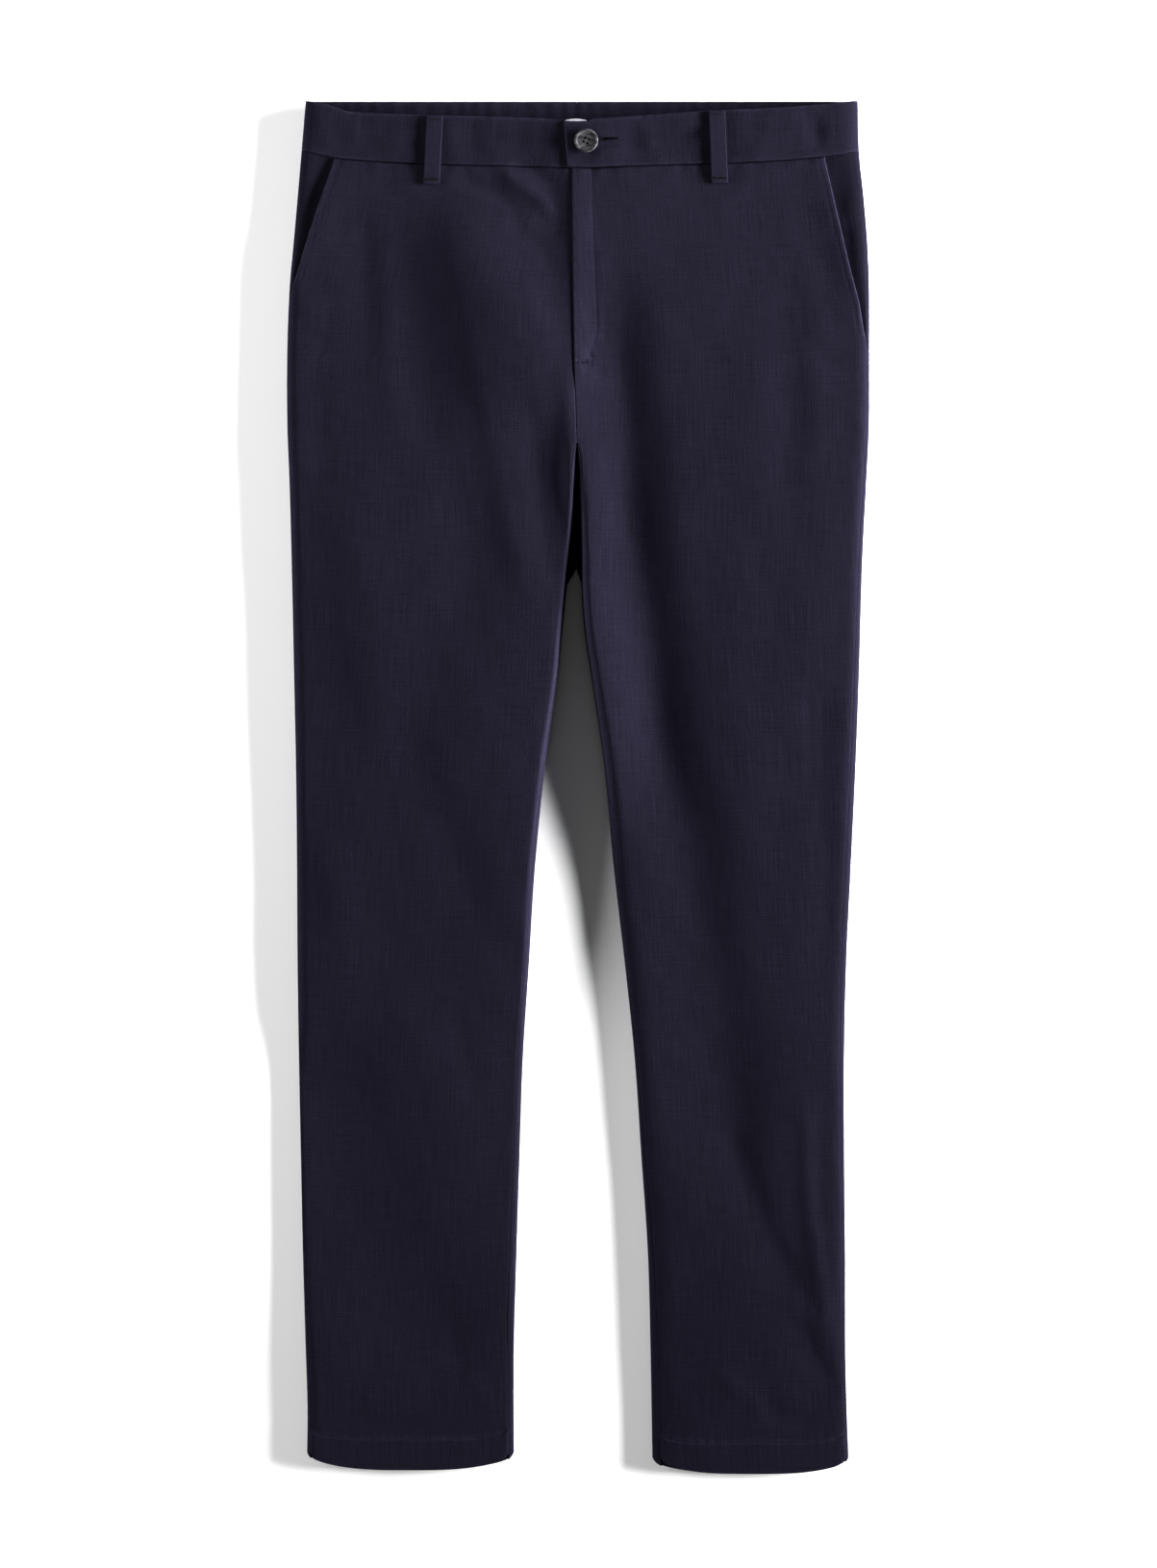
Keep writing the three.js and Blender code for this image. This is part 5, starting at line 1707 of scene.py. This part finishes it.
@dataclass(frozen=True)
class ClothFinish:
    """Garment-dyed cotton twill: a dark and a light yarn shade, worn edges and painted highlights that
    lighten it, and any sheen.
    """

    name: str
    dark: tuple[float, float, float]
    light: tuple[float, float, float]
    worn_and_highlight: tuple[float, float, float]
    roughness: float = 0.82
    sheen: float = 0.0
    pitch: float = 0.0007
    depth: float = 0.00010

    def material(self) -> bpy.types.Material:
        """Builds the material."""
        material, sheet, shader = start_material(self.name)
        weave = sheet.add("UVMap", uv_map=WEAVE_MAP)
        wear = sheet.add("Attribute", attribute_name=WEAR_AND_HIGHLIGHT)
        yarn = sheet.add("Group", node_tree=Groups.get("yarn"))
        sheet.join(weave.outputs[0], yarn.inputs["Weave"])
        sheet.join(wear.outputs["Fac"], yarn.inputs["Wear"])
        tone = sheet.add("Mix", data_type="RGBA")
        tone.inputs[6].default_value = display_colour(*self.dark)
        tone.inputs[7].default_value = display_colour(*self.light)
        sheet.join(yarn.outputs["Shade"], tone.inputs[0])
        # Mixed towards the lighter colour where edges are worn, where a highlight is painted, and at specks
        # of lint.
        lightened = sheet.add("Mix", data_type="RGBA")
        lightened.inputs[7].default_value = display_colour(*self.worn_and_highlight)
        sheet.join(tone.outputs[2], lightened.inputs[6])
        amount = sheet.math("ADD", yarn.outputs["Fade"], sheet.math("MULTIPLY", yarn.outputs["Lint"], 0.5))
        sheet.join(amount, lightened.inputs[0])
        sheet.join(lightened.outputs[2], shader.inputs["Base Color"])
        twill = sheet.add("Group", node_tree=Groups.get("twill"))
        twill.inputs["Pitch"].default_value = self.pitch
        sheet.join(weave.outputs[0], twill.inputs["Weave"])
        slubs = sheet.math("MULTIPLY", yarn.outputs["Shade"], 1.6)
        height = sheet.math("ADD", twill.outputs["Height"], slubs)
        bump = sheet.add("Bump")
        bump.inputs["Distance"].default_value = self.depth
        bump.inputs["Strength"].default_value = 0.8
        sheet.join(height, bump.inputs["Height"])
        sheet.join(bump.outputs[0], shader.inputs["Normal"])
        shader.inputs["Roughness"].default_value = self.roughness
        shader.inputs["Specular IOR Level"].default_value = 0.01
        shader.inputs["Sheen Weight"].default_value = self.sheen
        shader.inputs["Sheen Roughness"].default_value = 0.45
        shader.inputs["Sheen Tint"].default_value = (0.62, 0.6, 0.85, 1.0)
        return material


@dataclass(frozen=True)
class ThreadFinish:
    """Twisted sewing thread."""

    name: str
    colour: tuple[float, float, float]
    roughness: float = 0.6

    def material(self) -> bpy.types.Material:
        """Builds the material: fine slanted twist in colour and bump."""
        material, sheet, shader = start_material(self.name)
        place = sheet.add("TexCoord")
        twist = sheet.noise(place.outputs["Object"], (2600.0, 1500.0, 2600.0), 1.0)
        tone = sheet.add("Mix", data_type="RGBA")
        dark = tuple(0.55 * part for part in self.colour)
        tone.inputs[6].default_value = display_colour(*dark)
        tone.inputs[7].default_value = display_colour(*self.colour)
        sheet.join(twist, tone.inputs[0])
        sheet.join(tone.outputs[2], shader.inputs["Base Color"])
        bump = sheet.add("Bump")
        bump.inputs["Distance"].default_value = 0.00005
        sheet.join(twist, bump.inputs["Height"])
        sheet.join(bump.outputs[0], shader.inputs["Normal"])
        shader.inputs["Roughness"].default_value = self.roughness
        shader.inputs["Specular IOR Level"].default_value = 0.08
        return material


@dataclass(frozen=True)
class ButtonFinish:
    """Cast resin of a dark smoky grey with fine cloudy grain."""

    name: str
    dark: tuple[float, float, float]
    light: tuple[float, float, float]

    def material(self) -> bpy.types.Material:
        """Builds the material: clouds of two greys under a satin gloss."""
        material, sheet, shader = start_material(self.name)
        place = sheet.add("TexCoord")
        clouds = sheet.spread(sheet.noise(place.outputs["Object"], (170.0, 420.0, 170.0), 4.0), 0.35, 0.68)
        tone = sheet.add("Mix", data_type="RGBA")
        tone.inputs[6].default_value = display_colour(*self.dark)
        tone.inputs[7].default_value = display_colour(*self.light)
        sheet.join(clouds, tone.inputs[0])
        sheet.join(tone.outputs[2], shader.inputs["Base Color"])
        scuffs = sheet.noise(place.outputs["Object"], (900.0, 900.0, 900.0), 3.0)
        sheet.join(sheet.math("ADD", sheet.math("MULTIPLY", scuffs, 0.2), 0.4), shader.inputs["Roughness"])
        bump = sheet.add("Bump")
        bump.inputs["Distance"].default_value = 0.00002
        sheet.join(scuffs, bump.inputs["Height"])
        sheet.join(bump.outputs[0], shader.inputs["Normal"])
        shader.inputs["Specular IOR Level"].default_value = 0.07
        return material


@dataclass(frozen=True)
class FloorFinish:
    """A plain pale surface."""

    name: str = "pale floor"
    colour: tuple[float, float, float] = (243, 243, 243)

    def material(self) -> bpy.types.Material:
        """Builds the material: matt and even."""
        material, sheet, shader = start_material(self.name)
        shader.inputs["Base Color"].default_value = display_colour(*self.colour)
        shader.inputs["Roughness"].default_value = 0.9
        shader.inputs["Specular IOR Level"].default_value = 0.1
        return material


# The third colour of each finish is the lighter one of worn edges and painted highlights.
TWILL = ClothFinish("navy cotton twill", (25, 23, 33), (38, 36, 48), (46, 43, 57))
# The same twill made darker for the pocket facings: painted shade of the pocket openings.
TWILL_SHADE = ClothFinish("navy pocket twill", (22, 20, 29), (34, 32, 43), (42, 39, 52))
TAPE = ClothFinish(
    "off-white tape", (176, 175, 182), (200, 199, 205), (206, 206, 210), sheen=0.1, pitch=0.0005
)
THREAD = ThreadFinish("navy thread", (23, 22, 30))
# Near-black thread for the fly, loops and button; at the buttonhole its wide wedge of stitches also paints
# the shade of the slot.
DARK_THREAD = ThreadFinish("black thread", (12, 12, 15))
RESIN = ButtonFinish("smoky resin", (38, 38, 41), (74, 73, 75))


@dataclass(frozen=True)
class Cut:
    """The flat cut of a piece of cloth: width and length in metres, and its area."""

    flat: tuple[float, float]
    area: float


FACING_CUTS = {Side.RIGHT: Cut((0.036, 0.107), 0.0026), Side.LEFT: Cut((0.037, 0.149), 0.0037)}


@dataclass
class Trousers:
    """The whole garment: every cloth piece, the button and the sewing."""

    lay: Lay = field(default_factory=Lay)
    made: dict[str, bpy.types.Object] = field(default_factory=dict)

    def keep(
        self,
        piece: bpy.types.Object,
        finish: bpy.types.Material,
        node: str | None = None,
        slot: str | None = None,
        flat: tuple[float, float] | None = None,
        area: float | None = None,
        rests_on: tuple[str, ...] = (),
    ) -> bpy.types.Object:
        """Dresses a piece, hangs it under the root and hides the CAD node that it stands for.

        Args:
            piece: The object.
            finish: Its material.
            node: CAD node that it stands for.
            slot: Material slot of the record that its finish comes from; not used.
            flat: Width and length of its cut, in metres, where it is a cloth; not used.
            area: Flat area of the cut in square metres, where it isn't a rectangle; not used.
            rests_on: What a cloth lies on; not used.

        Returns:
            The piece.
        """
        piece.data.materials.clear()
        piece.data.materials.append(finish)
        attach(piece, ROOT)
        if node:
            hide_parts(node)
        sizes = np.empty(len(piece.data.polygons))
        piece.data.polygons.foreach_get("area", sizes)
        self.made[piece.name] = piece
        LOG.info("%s: %d faces, half its surface %.5f m2", piece.name, len(sizes), sizes.sum() / 2.0)
        return piece

    def build(self) -> None:
        """Builds and dresses every piece."""
        twill, shade, tape = TWILL.material(), TWILL_SHADE.material(), TAPE.material()
        resin = RESIN.material()
        fronts, bands = {}, {}
        for side in Side:
            word = side.word
            fronts[side], bands[side] = FrontPanel(self.lay, side), Waistband(self.lay, side)
            self.keep(
                BackPanel(self.lay, side).build(), twill, "back_" + word, "twill",
                (0.29, 1.06), 0.26, ("pale_floor",),
            )
            # The facings take the darker copy of the twill, painted shade of the opening.
            self.keep(
                PocketFacing(self.lay, side).build(), shade, "pocket_facing_" + word, "pocket_facing",
                FACING_CUTS[side].flat, FACING_CUTS[side].area, ("cloth_back_" + word,),
            )
            self.keep(
                fronts[side].build(), twill, "front_" + word, "twill",
                (0.24, 1.05), 0.195, ("cloth_back_" + word,),
            )
            self.keep(
                bands[side].build(), twill, "waistband_" + word, "twill",
                (0.45, 0.039), None, ("pale_floor",),
            )
        button = Button(self.lay, bands[Side.LEFT])
        self.keep(button.build(), resin, "waist_button", "button")
        self.keep(Label().build(), tape, "inner_label", "label", (0.02, 0.028), None,
                  ("cloth_waistband_right",))
        loops = self.loops(twill)
        self.sew(fronts, bands, loops, button)

    def loops(self, twill: bpy.types.Material) -> list[BeltLoop]:
        """Builds the five belt loops."""
        places = {
            "belt_loop_front_right": -113.8,
            "belt_loop_front_left": 109.8,
            "belt_loop_back_right": -128.0,
            "belt_loop_back_centre": self.lay.seat_x,
            "belt_loop_back_left": 126.0,
        }
        loops = [BeltLoop(self.lay, name, x) for name, x in places.items()]
        for loop in loops:
            self.keep(loop.build(), twill, loop.name, "twill", (0.0128, 0.054), None,
                      ("cloth_waistband_right", "cloth_waistband_left"))
        return loops

    def sew(self, fronts: dict, bands: dict, loops: list, button: Button) -> None:
        """Adds the stitching that shows: hems, pockets, fly, loops, buttonhole and button."""
        sewing, thread, dark = Sewing(), THREAD.material(), DARK_THREAD.material()
        for side, front in fronts.items():
            share = np.linspace(0.0, 1.0, 400)
            down = self.lay.hem_down - front.hem_line(share)
            x = mix(front.outer_edge(down), front.inner_edge(down), share)
            rows = [sewing.row(front.surface(x, down))]
            self.keep(sewing.piece("hem_stitches_" + side.word, rows), thread)
            pocket = POCKETS[side]
            down = np.linspace(47.0, pocket.end - 8.0, 300)
            x = front.outer_edge(down) - side.value * front.pocket_stitch
            rows = [sewing.row(front.surface(x, down))]
            self.keep(sewing.piece("pocket_stitches_" + side.word, rows), thread)
        left = fronts[Side.LEFT]
        straight = np.linspace(54.0, left.j_start, 200)
        turn = np.linspace(0.0, math.pi / 2.0, 120)
        down = np.concatenate((straight, left.j_start + (left.j_radius - 0.1) * np.sin(turn)))
        x = left.inner_edge(down) + left.j_stitch(down)
        rows = [sewing.row(left.surface(x, down))]
        tack = np.linspace(0.8, 11.5, 22)
        place = left.inner_edge(np.full_like(tack, left.fly_tack)) + tack
        starts = left.surface(place, np.full_like(tack, left.fly_tack - 0.9))
        ends = left.surface(place + 0.2, np.full_like(tack, left.fly_tack + 0.9))
        rows.append(sewing.bars(starts, ends))
        self.keep(sewing.piece("fly_stitches", rows), dark)
        self.keep(sewing.piece("buttonhole_stitches", self.buttonhole(sewing, bands[Side.LEFT])), dark)
        rows = []
        for loop in loops:
            across = np.linspace(-0.4, 0.4, 20)
            for share in (0.06, 0.93):
                starts = loop.surface(across, np.full_like(across, share - 0.016))
                rows.append(sewing.bars(starts, loop.surface(across, np.full_like(across, share + 0.016))))
        self.keep(sewing.piece("belt_loop_stitches", rows), dark)
        self.keep(sewing.piece("button_thread", [self.shank(sewing, button)]), dark)

    def buttonhole(self, sewing: Sewing, band: Waistband) -> list[tuple]:
        """Dense stitches across both lips of the buttonhole and a bar at its end. Their black thread widens
        towards the button, so it also paints the shade of the pinched slot.
        """
        x = np.arange(band.slot_start + 8.5, band.slot_end + 0.6, 0.5)
        slot = band.slot_half
        rows = []
        for way in (-1.0, 1.0):
            # Wider near the button: the wedge of dark thread paints the shade of the pinched slot.
            reach = slot * mix(4.6, 2.4, smooth((x - x[0]) / (x[-1] - x[0])))
            near = band.front(x, np.full_like(x, band.slot_share + way * slot * 0.9))
            rows.append(sewing.bars(near, band.front(x, band.slot_share + way * reach)))
        across = np.linspace(-2.2, 2.2, 9) * slot + band.slot_share
        ends = np.full_like(across, band.slot_end + 0.3)
        rows.append(sewing.bars(band.front(ends, across), band.front(ends + 1.8, across)))
        return rows

    def shank(self, sewing: Sewing, button: Button) -> tuple:
        """Two pairs of threads from hole to hole over the button's face."""
        holes = button.hole_centres()
        centre = np.array((button.x, HALF_LENGTH - button.down))
        starts, ends = [], []
        for first, second in ((0, 1), (3, 2)):
            for shift in (-0.32, 0.0, 0.32):
                along = holes[second] - holes[first]
                beside = np.array((-along[1], along[0])) / np.linalg.norm(along) * shift
                starts.append([*(centre + holes[first] + beside), button.seat() + 0.5])
                ends.append([*(centre + holes[second] + beside), button.seat() + 0.5])
        up = np.tile((0.0, 0.0, 1.0), (len(starts), 1))
        return sewing.threads(np.array(starts), np.array(ends), up, arch=0.3, sink=0.15)


@dataclass(frozen=True)
class SideLamp:
    """A long low strip softbox, which looks over the trousers from beside or beyond the table.

    "aim" is the y that it is turned to, in metres, and "spread" the angle that its grid leaves open.
    """

    name: str
    place: tuple[float, float, float]
    width: float
    height: float
    power: float
    aim: float = 0.6
    spread: float = 90.0

    def build(self) -> None:
        """Adds the softbox, turned to the place on the middle line that it aims at."""
        data = bpy.data.lights.new(self.name, "AREA")
        data.shape, data.size, data.size_y, data.energy = "RECTANGLE", self.width, self.height, self.power
        lamp = bpy.data.objects.new(self.name, data)
        data.spread = math.radians(self.spread)
        x, y, z = self.place
        lamp.location = self.place
        away = y - self.aim
        lamp.rotation_euler = (math.atan2(math.hypot(x, away), z), 0.0, math.atan2(x, -away))
        lamp.visible_camera = False
        bpy.context.scene.collection.objects.link(lamp)


@dataclass
class Studio:
    """The pale floor, three softboxes and the camera straight above.

    One softbox stands at each side, and the third beyond the hems. "contrast" is the steepness of the
    picture's tone curve and "room" the brightness of the surroundings.
    """

    camera_height: float = 2.915
    camera_x: float = 0.0002
    camera_y: float = 0.0026
    lens: float = 85.0
    floor_half: float = 4.0
    floor_down: float = 0.0006
    room: float = 0.12
    contrast: float = 1.33
    lamps: tuple[SideLamp, ...] = (
        SideLamp("softbox_left_hand", (3.4, 0.65, 0.66), 2.5, 0.7, 298.0, aim=1.0, spread=72.0),
        SideLamp("softbox_right_hand", (-3.0, 0.6, 0.6), 2.3, 0.6, 94.0),
        SideLamp("softbox_foot_end", (-1.7, -2.3, 0.5), 1.6, 0.5, 25.0, spread=180.0),
    )

    def build(self) -> None:
        """Builds floor, lamps and camera, and sets the picture's contrast."""
        half, low = self.floor_half, -self.floor_down
        corners = np.array(((-half, -half, low), (half, -half, low), (half, half, low), (-half, half, low)))
        floor = linked("pale_floor", quad_mesh("pale_floor", corners, np.array(((0, 1, 2, 3),))))
        floor.data.materials.append(FloorFinish().material())
        for lamp in self.lamps:
            lamp.build()
        world = bpy.data.worlds.new("soft room")
        world.use_nodes = True
        back = world.node_tree.nodes["Background"]
        back.inputs["Color"].default_value = (1.0, 1.0, 1.0, 1.0)
        back.inputs["Strength"].default_value = self.room
        scene = bpy.context.scene
        scene.world = world
        scene.view_settings.view_transform = "Standard"
        scene.view_settings.gamma = 1.0 / self.contrast
        data = bpy.data.cameras.new("above")
        data.lens, data.sensor_width = self.lens, 36.0
        camera = bpy.data.objects.new("above", data)
        camera.location = (self.camera_x, self.camera_y, self.camera_height)
        scene.collection.objects.link(camera)
        scene.camera = camera


def main() -> None:
    """Builds the studio and the trousers, and reports each piece."""
    logging.basicConfig(level=logging.INFO, format="%(message)s")
    Studio().build()
    Trousers().build()


if __name__ == "__main__":
    main()
